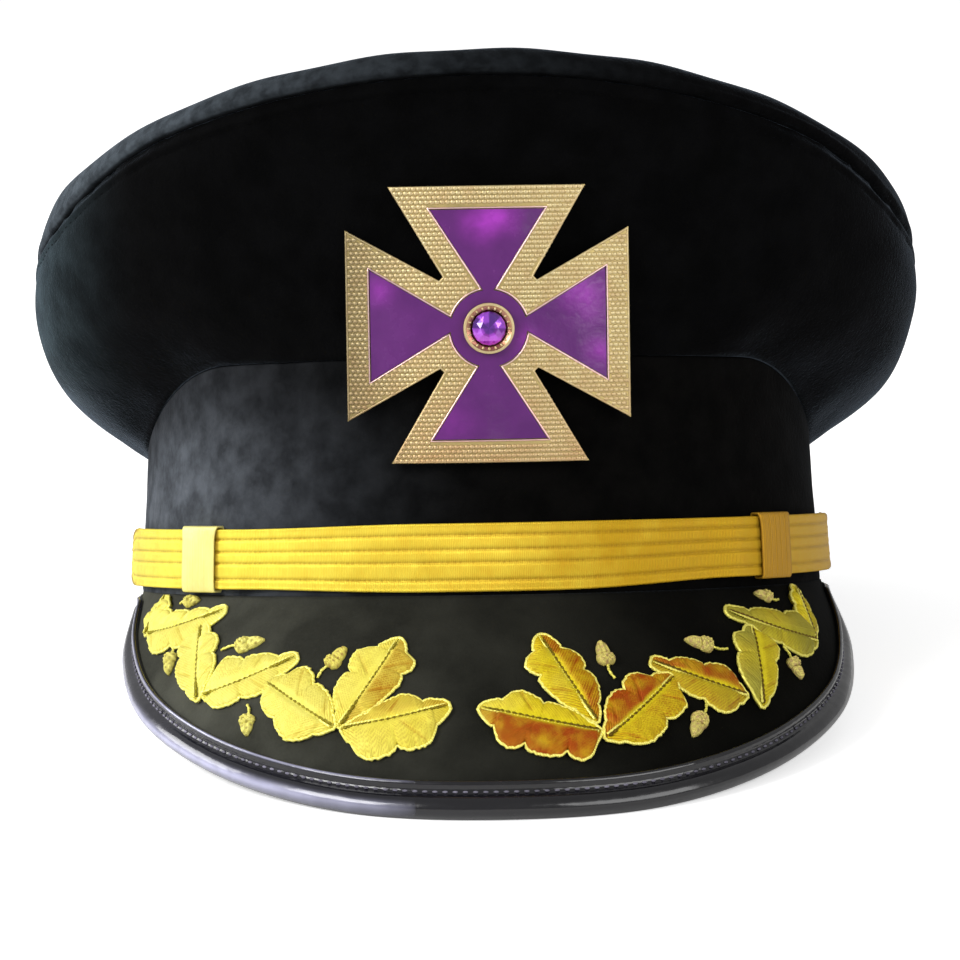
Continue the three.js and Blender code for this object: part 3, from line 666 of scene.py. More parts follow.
def cloth_material(
    name, dark, light, spread=(-0.092, 0.07), power=1.8, fibre=0.0009, patch=0.03, sheen=0.05, shaded=0.0
):
    """Black wool with a little lint, whose colour holds painted light: lighter on the cap's lit side and
    darker away from it. Where a tone is painted, the share called shaded takes painted shade off that light."""
    material, tree, shader = new_material(
        name, sheen_weight=sheen, sheen_roughness=0.22, sheen_tint=SHEEN_TINT, specular_ior_level=0.04
    )
    nap = use_group(tree, "Wool nap", fibre_size=fibre, patch_size=patch)
    # Painted light across the cap
    share = sideways(tree, *spread, power)
    if shaded:
        share = times(tree, share, ranged(tree, painted_tone(tree), 0.0, 1.0, 1.0, 1 - shaded))
    low = mixed(tree, share, scaled(dark, 0.3), scaled(light, 0.35))
    high = mixed(tree, share, scaled(dark, 1.8), scaled(light, 1.75))
    # The lint shows only where the painted light falls
    lint = times(tree, nap["Lint"], times(tree, share, 0.2))
    color = mixed(tree, lint, mixed(tree, nap["Shade"], low, high), LINT)
    rough = ranged(tree, nap["Shade"], 0.0, 1.0, 0.98, 0.86)
    link_looks(tree, shader, color, rough, nap["Height"], 0.0004, 0.9)
    return material


def patent_material(name, color, light):
    """Patent leather with painted light: paler on the cap's lit side, and a painted highlight where its tone
    is painted.
    """
    material, tree, shader = new_material(
        name, coat_weight=0.55, coat_roughness=0.08, specular_ior_level=0.35
    )
    smudge = use_group(tree, "Handling", size=0.011)["Smudge"]
    ripple = noise(tree, place_in(tree), 160.0, 2.0)
    # Painted light, paler on the lit side
    share = times(tree, sideways(tree, -0.09, 0.01, 1.3), ranged(tree, smudge, 0, 1, 0.45, 1))
    # Painted highlight where the tone is painted, on the lit side only
    painted_light_mask = times(tree, painted_tone(tree), sideways(tree, -0.072, -0.02, 0.55))
    painted_light_mask = times(tree, painted_light_mask, ranged(tree, ripple, 0.3, 0.7, 0.7, 1.0))
    color = mixed(tree, painted_light_mask, mixed(tree, share, color, light), PATENT_PAINTED_HIGHLIGHT)
    link_looks(tree, shader, color, ranged(tree, smudge, 0, 1, 0.16, 0.3), ripple, 0.0006, 0.5)
    return material


def thread_material(
    name, gold, pitch, slant=0.0, tones=None, fine=0.00012, metal=0.45, spread=(-0.085, 0.06), dull=None
):
    """Gold thread along the piece's UV map. gold holds its colour, and the colour between its threads, on the
    light side of the cap and then on the dark side: the step from one side to the other is painted light, and
    the colour between threads is painted shade. The painted tone's red turns it towards tones, a colour of
    painted shade for each side, and its green towards dull."""
    near, near_deep, far, far_deep = gold
    material, tree, shader = new_material(name, metallic=metal, specular_ior_level=0.14)
    threads = use_group(tree, "Thread run", pitch=pitch, slant=slant)
    shade = threads["Shade"]
    place = place_in(tree)
    # Noise patches that take some painted light away
    painted_light_mask = ranged(tree, noise(tree, place, 70.0, 3.0, 0.6), 0.35, 0.7, 0.0, 0.3)
    share = ranged(tree, maths(tree, "SUBTRACT", sideways(tree, *spread), painted_light_mask), 0.0, 1.0)
    deep = mixed(tree, share, far_deep, near_deep)
    color = mixed(tree, shade, deep, mixed(tree, share, far, near))
    if tones or dull:
        tone = add(tree, "ShaderNodeSeparateColor", {0: painted_tone(tree)}).outputs
    if tones:
        near, far = tones
        patch = ranged(tree, noise(tree, place, 190.0, 2.0), 0.3, 0.7, 0.6, 1.25)
        dim = mixed(tree, share, scaled(far, 0.55), scaled(near, 0.6))
        lit = mixed(tree, share, scaled(far, 1.15), scaled(near, 1.1))
        turned = ranged(tree, times(tree, tone["Red"], patch), 0.0, 1.0)
        color = mixed(tree, turned, color, mixed(tree, shade, dim, lit))
    if dull:
        quiet = mixed(tree, shade, scaled(dull, 0.6), scaled(dull, 1.2))
        color = mixed(tree, tone["Green"], color, quiet)
    link_looks(tree, shader, color, ranged(tree, shade, 0, 1, 0.55, 0.34), threads["Height"], fine, 0.7)
    return material


def gilt_material(name, bright, deep, rough=(0.44, 0.58)):
    """Gilt metal with painted shade: it turns towards its deep colour low on the badge and is darker at one
    side arm's end. On the notched wall, the colour low down is a painted reflection.
    """
    material, tree, shader = new_material(name, metallic=1.0)
    handled = use_group(tree, "Handling", size=0.004)
    smudge = handled["Smudge"]
    height = add(tree, "ShaderNodeSeparateXYZ", {0: place_in(tree)}).outputs["Z"]
    # Painted shade low on the badge
    low = ranged(tree, height, 0.105, 0.062)
    share = added(tree, times(tree, low, 0.6), times(tree, smudge, 0.4))
    # Painted shade at one side arm's end
    dim = times(tree, sideways(tree, -0.034, -0.018), 0.55)
    color = mixed(tree, dim, mixed(tree, share, bright, deep), scaled(deep, 0.12))
    link_looks(tree, shader, color, ranged(tree, smudge, 0, 1, *rough), handled["Speck"], 0.00004, 0.4)
    return material


def enamel_material(name, color, light, painted_sheen_spots):
    """Enamel with painted sheen: soft spots, each with its place, size and strength."""
    material, tree, shader = new_material(name, coat_weight=0.3, coat_roughness=0.12, specular_ior_level=0.3)
    smudge = use_group(tree, "Handling", size=0.009)["Smudge"]
    place = place_in(tree)
    share = 0.0
    for centre, size, strength in painted_sheen_spots:
        away = vector_maths(tree, "DISTANCE", place, centre)
        near = maths(tree, "POWER", ranged(tree, away, 0.0, size, 1.0, 0.0), 1.4)
        share = added(tree, times(tree, near, strength), share)
    share = times(tree, share, ranged(tree, smudge, 0.0, 1.0, 0.45, 1.1))
    share = ranged(tree, added(tree, share, times(tree, smudge, 0.06)), 0.0, 1.0)
    rough = ranged(tree, smudge, 0, 1, 0.2, 0.3)
    link_looks(tree, shader, mixed(tree, share, color, light), rough, smudge, 0.0005, 0.3)
    return material


def stone_material(name, color, light, glow, centre, across, up):
    """A foiled cut stone with painted reflections: lighter rays round a dark middle, and a painted glow low
    down. centre, across and up place it.
    """
    material, tree, shader = new_material(
        name, metallic=0.4, transmission_weight=0.2, ior=1.7, coat_weight=1.0, coat_roughness=0.02
    )
    local = vector_maths(tree, "SUBTRACT", place_in(tree), centre, "Vector")
    x, y = (vector_maths(tree, "DOT_PRODUCT", local, axis) for axis in (across, up))
    rays = ranged(tree, maths(tree, "SINE", times(tree, maths(tree, "ARCTAN2", y, x), 4.0)), -0.25, 0.25)
    squares = (maths(tree, "POWER", part, 2.0) for part in (x, y))
    away = maths(tree, "POWER", added(tree, *squares), 0.5)
    middle = ranged(tree, away, 0.0012, 0.0017, 0.15, 1.0)
    facets = mixed(tree, times(tree, rays, middle), color, light)
    low = times(tree, ranged(tree, y, 0.0004, -0.0034), middle)
    shade = mixed(tree, times(tree, low, 0.8), facets, glow)
    link_looks(tree, shader, shade, ranged(tree, rays, 0, 1, 0.06, 0.16))
    return material


def floor_material(name, color, glow):
    """A pale floor that looks nearly white to the camera."""
    material, tree, shader = new_material(name, specular_ior_level=0.2, roughness=0.9, emission_strength=1.0)
    cloud = noise(tree, place_in(tree), 4.0, 3.0)
    tree.links.new(mixed(tree, cloud, scaled(color, 0.985), color), shader.inputs["Base Color"])
    seen = add(tree, "ShaderNodeLightPath").outputs["Is Camera Ray"]
    tree.links.new(times(tree, seen, glow), shader.inputs["Emission Color"])
    return material


# Settings that a user would change
def mm_property(label, about, default, low, high):
    sizes = {"default": default * MM, "min": low * MM, "max": high * MM}
    return bpy.props.FloatProperty(name=label, description=about, unit="LENGTH", precision=5, **sizes)


def color_property(label, about, default):
    return bpy.props.FloatVectorProperty(
        name=label, description=about, default=default, size=3, min=0, max=1, subtype="COLOR"
    )


def amount_property(label, about, default, unit="NONE", low=0):
    return bpy.props.FloatProperty(name=label, description=about, default=default, min=low, unit=unit)


class CapClothSettings(bpy.types.PropertyGroup):
    """Cloth of the crown, band and visor, and the patent leather"""

    # The light-side colours are painted light on the cap's lit side, the crown's along its lit rim; the
    # dark-side colours are the cloth's own.
    crown_light: color_property("Crown, light side", "Painted light along its lit rim", (0.026, 0.039, 0.045))
    crown_dark: color_property("Crown, dark side", "Nap of the crown elsewhere", (0.0006, 0.0006, 0.0007))
    roll_light: color_property("Roll, light side", "Painted light on the roll above the seam", (0.045, 0.054, 0.063))
    band_light: color_property("Band, light side", "Painted light on its lit side", (0.064, 0.071, 0.082))
    band_dark: color_property("Band, dark side", "Nap of the band elsewhere", (0.0008, 0.0007, 0.0006))
    visor_light: color_property("Visor, light side", "Painted light on its lit side", (0.065, 0.066, 0.053))
    visor_dark: color_property("Visor, dark side", "Nap of the visor elsewhere", (0.0014, 0.0013, 0.0009))
    patent: color_property("Patent leather", "Colour of the visor's binding", (0.003, 0.0028, 0.004))
    patent_light: color_property("Patent leather, light side", "Its light side", (0.014, 0.014, 0.022))
    binding_thread: color_property("Binding thread", "Stitches in the binding's groove", (0.2, 0.19, 0.24))
    stitch_pitch: mm_property("Seam stitch", "From one stitch of the crown's seam to the next", 3.0, 1.5, 6)
    ridge: mm_property("Seam ridge", "Height of the turned cloth above the seam", 0.28, 0, 1.5)
    binding_pitch: mm_property("Binding stitch", "From one of its stitches to the next", 2.4, 1.5, 5)


class CapGoldSettings(bpy.types.PropertyGroup):
    """Gold lace and embroidery thread"""

    # In the gold colours, light side and dark side are painted light across the cap; the deep colours between
    # threads, the shaded colours and the lace's groove colour are painted shade.
    near: color_property("Gold, light side", "Colour of the gold on its light side", (1.0, 0.93, 0.13))
    near_deep: color_property("Gold, light side, deep", "Between its threads there", (0.8, 0.56, 0.03))
    far: color_property("Gold, dark side", "Colour of the gold on its dark side", (0.47, 0.315, 0.009))
    far_deep: color_property("Gold, dark side, deep", "Between its threads there", (0.5, 0.25, 0.01))
    shaded: color_property("Thread, shaded", "Shaded halves of leaves, dark side", (0.4, 0.07, 0.002))
    shaded_near: color_property("Thread, shaded, light side", "The same, light side", (0.66, 0.5, 0.025))
    leaf: color_property("Leaf thread, light side", "Leaves on their light side", (1.0, 0.98, 0.33))
    leaf_far: color_property("Leaf thread, dark side", "Leaves on their dark side", (1.0, 0.88, 0.016))
    dull: color_property("Leaf thread, dull", "Outer leaves on the dark side", (0.3, 0.27, 0.035))
    groove: color_property("Lace, grooves", "Colour in the grooves of the lace", (0.34, 0.19, 0.008))
    rib: mm_property("Rib depth", "Depth of the grooves along the lace", 0.34, 0, 0.8)
    strand: mm_property("Strand", "Width of one satin strand of a leaf", 0.8, 0.4, 2)
    relief: mm_property("Padding", "Height of a leaf over the visor", 2.1, 0.5, 4)


class CapBadgeSettings(bpy.types.PropertyGroup):
    """The cross badge"""

    # deep is painted shade low on the badge and ground painted shade between the beads; enamel_light is the
    # enamel's painted sheen; the stone's light and glow colours are its painted reflections.
    bright: color_property("Gilt", "Colour of the metal", (0.59, 0.49, 0.27))
    deep: color_property("Gilt, deep", "Colour of the metal towards the lower arm", (0.43, 0.25, 0.12))
    ground: color_property("Gilt, sunk", "Colour of the metal between the beads", (0.44, 0.34, 0.145))
    enamel: color_property("Enamel", "Colour of the arms", (0.077, 0.0115, 0.109))
    enamel_light: color_property("Enamel, light", "Colour of its paler clouds", (0.42, 0.04, 0.52))
    stone: color_property("Stone", "Colour of the cut stone", (0.09, 0.006, 0.25))
    stone_light: color_property("Stone, light", "Colour of its brighter facets", (0.36, 0.06, 0.7))
    stone_glow: color_property("Stone, glow", "Colour of its lower facets", (0.62, 0.05, 0.72))
    bead_across: mm_property("Bead pitch across", "From one bead to the next in a row", 1.27, 0.8, 3)
    bead_up: mm_property("Bead pitch up", "From one row of beads to the next", 1.1, 0.7, 3)


class CapStudioSettings(bpy.types.PropertyGroup):
    """Floor, lights and camera"""

    floor: color_property("Floor", "Colour of the floor", (0.93, 0.93, 0.93))
    key: amount_property("Key light", "Power of the soft light", 36.0, "POWER")
    side: amount_property("Side light", "Power of the light at the side", 14.0, "POWER")
    fill: amount_property("Fill light", "Power of the weak light", 16.0, "POWER")
    sky: amount_property("White room", "Light from the white room", 0.45)
    glow: amount_property("Floor glow", "What the floor gives off", 0.5)
    lens: amount_property("Lens", "Focal length", 138.0, "CAMERA", 20)


# The enamel's painted sheen spots: place across and up the badge in millimetres, size in metres, strength
ENAMEL_PAINTED_SHEEN = (
    (-1.5, 24.5, 0.0072, 0.8),
    (3.5, 26.0, 0.007, 0.4),
    (-26.5, 8.5, 0.0055, 0.35),
    (24.0, 7.0, 0.01, 0.55),
    (27.0, -7.0, 0.006, 0.4),
    (-9.0, -23.5, 0.008, 0.25),
    (9.0, -4.0, 0.006, 0.25),
)
LEAF_THREAD = {"pitch": 0.0003, "slant": 0.9, "fine": 0.0001, "metal": 0.2, "spread": (-0.066, 0.025)}
CORD_THREAD = {"pitch": 0.0005, "slant": 0.5}
LACE_PITCH = 0.00045
MATERIALS = {}


def make_materials(scene):
    """Builds each finish once, from the settings."""
    wool_group()
    thread_group()
    handling_group()
    cloth_materials(scene.cap_cloth)
    gold_materials(scene.cap_gold)
    badge_materials(scene.cap_badge)


def cloth_materials(cloth):
    # Each light colour is painted light on the cap's lit side, the crown's as painted rim light at its far
    # edge; where the roll's and the band's tone is painted, shaded takes painted shade off it. The binding
    # thread is painted paler on the lit side.
    dark = cloth.crown_dark
    MATERIALS["crown"] = cloth_material(
        "Crown wool", dark, cloth.crown_light, (-0.118, -0.085), 2.5, patch=0.01, sheen=0.25
    )
    MATERIALS["roll"] = cloth_material(
        "Crown top wool", dark, cloth.roll_light, power=2.4, patch=0.004, sheen=0.2, shaded=0.95
    )
    MATERIALS["band"] = cloth_material(
        "Band wool", cloth.band_dark, cloth.band_light, (-0.078, 0.014), 3.1, 0.0013, 0.008, 0.03, 0.72
    )
    MATERIALS["visor"] = cloth_material(
        "Visor wool", cloth.visor_dark, cloth.visor_light, (-0.095, 0.07), 2.1, sheen=0.03
    )
    MATERIALS["stitch"] = cloth_material("Black sewing thread", dark, dark, fibre=0.0004)
    MATERIALS["patent"] = patent_material("Patent leather", cloth.patent, cloth.patent_light)
    grey = cloth.binding_thread
    MATERIALS["binding stitch"] = cloth_material(
        "Binding thread", scaled(grey, 0.4), grey, power=0.6, fibre=0.0005
    )


def gold_materials(gold):
    # In each gold, the light-side and dark-side colours are painted light across the cap, and the deep ones
    # painted shade between threads.
    lace = (gold.near, gold.near_deep, gold.far, gold.far_deep)
    pale = ((1.0, 0.99, 0.42), (0.92, 0.86, 0.24), (0.32, 0.18, 0.02), gold.far_deep)
    leaf = (gold.leaf, (0.82, 0.72, 0.08), gold.leaf_far, (0.36, 0.23, 0.006))
    cord = (*leaf[:2], (1.0, 0.95, 0.26), (0.8, 0.68, 0.1))
    # The midrib's dark dotted cord stands for the shade in the groove along the midrib: painted shade.
    midrib = ((0.4, 0.35, 0.02), (0.2, 0.17, 0.01), (0.17, 0.1, 0.006), (0.07, 0.04, 0.003))
    # Painted shade: tones for the leaves' shaded halves and the knots, and the colour in the lace's grooves
    leaf_tones, knot_tones = (gold.shaded_near, gold.shaded), ((0.34, 0.3, 0.03), gold.shaded)
    groove = (gold.groove, gold.groove)
    for key, name, colors, more in (
        ("lace", "Gold lace", lace, {"pitch": LACE_PITCH, "tones": groove}),
        ("keeper", "Gold lace loop", pale, {"pitch": LACE_PITCH}),
        ("satin", "Gold satin stitch", leaf, {**LEAF_THREAD, "tones": leaf_tones, "dull": gold.dull}),
        ("knots", "Gold knots", leaf, {**LEAF_THREAD, "tones": knot_tones, "dull": (0.52, 0.47, 0.2)}),
        ("cord", "Gold cord", cord, {**CORD_THREAD, "dull": scaled(gold.dull, 1.7)}),
        ("midrib shade cord", "Midrib cord, painted groove shade", midrib, CORD_THREAD),
    ):
        MATERIALS[key] = thread_material(name, colors, **more)


def badge_materials(badge):
    for key, name, *looks in (
        # Painted shade: the gilt turns deep low on the badge, the sunk ground between the beads is dark, and
        # the notched wall is brown with a painted reflection low down; the line's pale colour is a painted
        # highlight.
        ("gilt", "Gilt metal", badge.bright, badge.deep),
        ("ground", "Sunk gilt metal", badge.ground, badge.ground, (0.4, 0.6)),
        ("notch", "Notched gilt wall", (0.4, 0.2, 0.1), (0.7, 0.42, 0.3), (0.2, 0.4)),
        ("line", "Polished gilt line", (0.86, 0.62, 0.6), (0.8, 0.46, 0.42), (0.3, 0.42)),
    ):
        MATERIALS[key] = gilt_material(name, *looks)
    # Each painted sheen spot of the enamel, placed on the badge
    painted_sheen_spots = [(tuple(to_world(on_badge([x, y, PLATE_THICK]))), *cloud) for x, y, *cloud in ENAMEL_PAINTED_SHEEN]
    MATERIALS["enamel"] = enamel_material("Violet enamel", badge.enamel, badge.enamel_light, painted_sheen_spots)
    middle = np.array([0, -SETTING_DROP, PLATE_THICK + 1.5])
    centre, right, top = (to_world(on_badge(middle + step)) for step in ([0, 0, 0], [1, 0, 0], [0, 1, 0]))
    axes = (tuple(centre), tuple(unit(right - centre)), tuple(unit(top - centre)))
    colors = (badge.stone, badge.stone_light, badge.stone_glow)
    MATERIALS["stone"] = stone_material("Violet cut stone", *colors, *axes)


# Crown, band and visor cloth
AROUND = np.arange(0, 360, 1.25)
# How far from the seam the stitches pull the cloth, on the crown's side, where a row of stitches is laid, and
# on the roll
SIDE_STITCHES = 3.6
ROLL_STITCHES = 1.2


def along_rows(surface, stops, count):
    """Places along a profile at even steps of length, finer towards its first end."""
    fine = np.linspace(0, stops, 600)
    path = surface(np.full_like(fine, 40.0), fine)
    run = run_along(path)
    wanted = run[-1] * np.linspace(0, 1, count) ** 1.5
    return np.interp(wanted, run, fine)


def wall_behind(grid, normals, thickness, level_rows=()):
    """The inside of a wall.  Rows in level_rows keep their height, to meet the next piece."""
    back = grid - normals * thickness
    for row in level_rows:
        back[row, :, 2] = grid[row, :, 2]
    return back


def crown_waves(grid):
    """Slow swells of the soft cloth, in millimetres."""
    x, y, z = (grid[..., k] for k in range(3))
    slow = np.sin(x / 23 + 1.3 * np.sin(y / 41)) * np.cos(y / 29 + z / 37)
    quick = np.sin(x / 11 + y / 17) * np.sin(z / 9 - y / 13)
    return 0.75 * slow + 0.22 * quick


def stitch_dimples(turn, away, pitch):
    """The pull of each stitch on the cloth around it."""
    arc = np.radians(turn) * SEAM_RADIUS
    return bell(away, 0.75) * (0.34 + 0.26 * np.cos(2 * np.pi * arc / pitch))


def crown_side_grids(cloth):
    """Both faces of the crown's side, its normals, and how far each point is from the seam."""
    last = len(CROWN_ROWS) - 1
    at = last - along_rows(lambda turn, row: crown_point(turn, last - row), last, 64)
    turn, row = np.meshgrid(AROUND, at)
    grid = crown_point(turn, row * seam_row(turn) / last)
    normals = grid_normals(grid, True, (0, 0, 75))
    away = run_along(grid)
    foot = away[-1] - away
    grid[..., 2] -= (GAP + 0.03) * (1 - smooth(foot, 0, 2.5))
    keep = smooth(foot, 0, 14)
    lift = crown_waves(grid) * smooth(away, 2, 18) * keep
    pull = 0.6 + 0.4 * np.sin(np.radians(turn) * 97 + 2.5 * np.sin(np.radians(turn) * 31))
    lift -= 1.3 * bell(away, 1.25) * pull
    lift += 0.5 * bell(away - 2.6, 1.2)
    lift -= stitch_dimples(turn, away - SIDE_STITCHES, cloth.stitch_pitch / MM)
    gathers = np.sin(np.radians(turn) * 26 + 2 * np.sin(np.radians(turn) * 3))
    lift += 0.3 * gathers * bell(foot - 5, 5)
    face = grid + normals * lift[..., None]
    return face, wall_behind(grid, normals, CROWN_WALL, (0, -1)), normals, away


def crown_top_grids(cloth):
    """Both faces of the crown's roll and top panel, and how far each point is from the seam."""
    roll_at = along_rows(roll_point, len(ROLL_ROWS) - 1, 34)
    turn, row = np.meshgrid(AROUND, roll_at)
    roll = roll_point(turn, row)
    share = np.linspace(1, 0, 34)[1:]
    turn_in, share_in = np.meshgrid(AROUND, share)
    grid = np.concatenate([roll, panel_point(turn_in, share_in)])
    turns = np.concatenate([turn, turn_in])
    normals = grid_normals(grid, True, (0, 0, 60))
    normals[-1] = unit(normals[-2].mean(axis=0))
    away = run_along(grid)
    ridge = cloth.ridge / MM
    lift = crown_waves(grid) * smooth(away, 5, 24) * 0.8
    lift += 0.35 * np.sin(np.radians(turns) * 19) * bell(away - 16, 9)
    lift += ridge * (smooth(away, 0.1, 0.8) - smooth(away, 2.6, 3.3))
    lift -= 0.8 * bell(away, 0.8)
    lift -= stitch_dimples(turns, away - ROLL_STITCHES, cloth.stitch_pitch / MM)
    lift[-1] = lift[-1].mean()
    face = grid + normals * lift[..., None]
    back = wall_behind(grid, normals, CROWN_WALL, (0,))
    back[-1] = back[-1].mean(axis=0)
    return face, back, away


def row_of_stitches(name, slot, material, shape, places, ahead, normals, sink=0.0):
    """Stitches laid at places, each with its direction and its normal."""
    side = unit(np.cross(normals, ahead))
    axes = np.stack([unit(ahead), side, normals], axis=1)
    points, faces = copies(shape, places - normals * sink, axes)
    return make_object(name, points, faces, [material], slot)


def stitch_shape(length, width, height):
    """One stitch: a small rounded bar."""
    bpy.ops.object.select_all(action="DESELECT")
    bpy.ops.mesh.primitive_uv_sphere_add(segments=6, ring_count=5, radius=0.5 * MM)
    stitch = bpy.context.object
    bpy.ops.transform.rotate(value=math.pi / 2, orient_axis="Y", center_override=(0, 0, 0))
    bpy.ops.object.transform_apply(rotation=True)
    stitch.scale = (length, width, height)
    bpy.ops.object.transform_apply(scale=True)
    return template(stitch)


def seam_line(grid, normals, away, distance, pitch):
    """Places at even steps along the line that lies a distance from a grid's first row."""
    columns = np.arange(grid.shape[1])
    row = np.array([np.interp(distance, away[:, c], np.arange(len(away))) for c in columns])
    low = row.astype(int)
    t = (row - low)[:, None]
    line = grid[low, columns] * (1 - t) + grid[low + 1, columns] * t
    upward = unit(normals[low, columns])
    line, upward = (np.concatenate([v, v[:1]]) for v in (line, upward))
    run = run_along(line)
    wanted = np.arange(0, run[-1] - pitch / 2, pitch)
    places, ups = (
        np.stack([np.interp(wanted, run, values[:, axis]) for axis in range(3)], axis=-1)
        for values in (line, upward)
    )
    ahead = np.roll(places, -1, axis=0) - np.roll(places, 1, axis=0)
    return places, ahead, unit(ups)


class CAP_OT_crown(bpy.types.Operator):
    """Crown: the swelling side, the top panel with its roll, and the stitched seam between them"""

    bl_idname = "cap.crown"
    bl_label = "Crown"

    def execute(self, context):
        cloth = context.scene.cap_cloth
        side, back, normals, away = crown_side_grids(cloth)
        line = seam_line(side, normals, away, SIDE_STITCHES, cloth.stitch_pitch / MM)
        wool = MATERIALS["crown"]
        piece = wall_piece("crown_side_cloth", side, back, wool, "cloth", length_uv(side, True), True)
        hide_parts("crown_side")
        top, back, away = crown_top_grids(cloth)
        # Painted shade in the seam's groove, broken into spots just above it
        dark = bell(away, 0.8) + 0.3 * bell(away - 1.6, 0.5) * np.sin(np.radians(AROUND) * 61) ** 2
        wool, uv, tone = MATERIALS["roll"], length_uv(top, True), np.clip(dark, 0, 1)
        piece = wall_piece("crown_top_cloth", top, back, wool, "cloth", uv, True, True, tone)
        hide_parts("crown_top")
        shape = stitch_shape(1.8, 0.5, 0.4)
        row_of_stitches("seam_stitches", "cloth", MATERIALS["stitch"], shape, *line, sink=0.12)
        return {"FINISHED"}


def band_section():
    """Share of the height, drop below it and depth into the wall, from the foot over the edge."""
    rows = [(0.0, 0.0, 0.35), (0.0, -0.3, 0.08), (0.0, -0.8, 0.0)]
    rows += [(share, 0.0, 0.0) for share in np.linspace(0.05, 0.92, 22)]
    edge = ((1.8, 0.0), (1.3, -0.06), (0.8, -0.04), (0.4, 0.14), (0.12, 0.42), (0.0, 0.85))
    rows += [(1.0, drop, depth) for drop, depth in edge]
    return np.array(rows)


class CAP_OT_band(bpy.types.Operator):
    """Band: the stiff band and its cloth, with a soft rounded upper edge"""

    bl_idname = "cap.band"
    bl_label = "Band"

    def execute(self, context):
        rows = band_section()
        turn, share = np.meshgrid(AROUND, rows[:, 0])
        drop, depth = (np.broadcast_to(rows[:, k : k + 1], turn.shape) for k in (1, 2))
        over_visor = 1 - smooth(from_front(turn), VISOR_REACH + 1, VISOR_REACH + 7)
        height = share * band_top(turn) - drop - 1.15 * over_visor * (1 - smooth(share, 0, 0.1))
        angle = np.radians(turn)
        ripple = 0.14 * np.sin(angle * 17 + height / 9) * np.sin(height / 7 + 2 * np.cos(angle * 5))
        ripple = ripple * smooth(height, 17, 24) * smooth(band_top(turn) - height, 0, 8)
        face = on_oval(turn, band_lean(turn, height) - depth + ripple, height)
        back = on_oval(turn, band_lean(turn, height) - BAND_WALL, height)
        # Painted shadow of the crown's edge on the band's upper part
        tone = smooth(height / band_top(turn), 0.5, 0.97)
        wool = MATERIALS["band"]
        piece = wall_piece("band_cloth", face, back, wool, "cloth", length_uv(face, True), True, tone=tone)
        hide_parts("band")
        return {"FINISHED"}


class CAP_OT_visor(bpy.types.Operator):
    """Visor: the board covered in wool cloth"""

    bl_idname = "cap.visor"
    bl_label = "Visor"

    def execute(self, context):
        along, out = np.meshgrid(np.linspace(-1, 1, 180), np.linspace(0, 1, 46))
        swell = 0.16 * np.sin(along * 9 + out * 4) * np.sin(out * 7 + 2) * 4 * out * (1 - out)
        face = on_visor(along, out, swell)
        back = on_visor(along, out, -VISOR_THICK)
        piece = wall_piece("visor_cloth", face, back, MATERIALS["visor"], "cloth", length_uv(face, False))
        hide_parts("visor")
        return {"FINISHED"}


# The binding's outer face: past the board's edge, and up from the middle of its thickness
HALF_BOARD = VISOR_THICK / 2
BINDING_OUTSIDE = np.array(
    [
        (-6.8, 1.25), (-6.95, 1.7), (-6.8, 2.3), (-6.3, 2.65), (-5.7, 2.6), (-5.2, 2.2), (-4.8, 1.75),
        (-4.2, 1.58), (-3.6, 1.65), (-3.0, 2.0), (-2.3, 2.4), (-1.4, 2.62), (-0.4, 2.6), (0.5, 2.35),
        (1.15, 1.75), (1.45, 0.8), (1.5, -0.2), (1.35, -1.2), (0.9, -1.95), (0.1, -2.2), (-1.5, -2.2),
        (-3.5, -2.2), (-5.8, -2.2), (-6.7, -2.05), (-6.8, -1.7), (-6.8, -1.3),
    ]
)
BINDING_INSIDE = np.array(
    [(-6.8, 1.2), (-3.4, 1.2), (0.0, 1.2), (0.5, 0.0), (0.0, -1.2), (-3.4, -1.2), (-6.8, -1.2)]
)
BINDING_GROOVE = (-4.2, 1.66)
BINDING_LENGTH = 225.0


def binding_point(along, past, up):
    """A point of the binding, which gets thinner and narrower towards the visor's ends."""
    along, past, up = (np.asarray(v, float) for v in np.broadcast_arrays(along, past, up))
    length = visor_length(along)
    lap = np.minimum(1, length * 0.7 / BINDING_LAP)
    outward = unit(on_visor(along, 1.0, 0) - on_visor(along, 0.9, 0))
    full = 0.2 + 0.8 * smooth(1 - np.abs(along), 0.0, 0.04)
    up = np.where(np.abs(up) > 1.3, np.sign(up) * (1.3 + (np.abs(up) - 1.3) * full), up)
    on_board = on_visor(along, 1 + np.minimum(past, 0) * lap / length, up - HALF_BOARD)
    return on_board + outward * (np.maximum(past, 0) * full)[..., None]


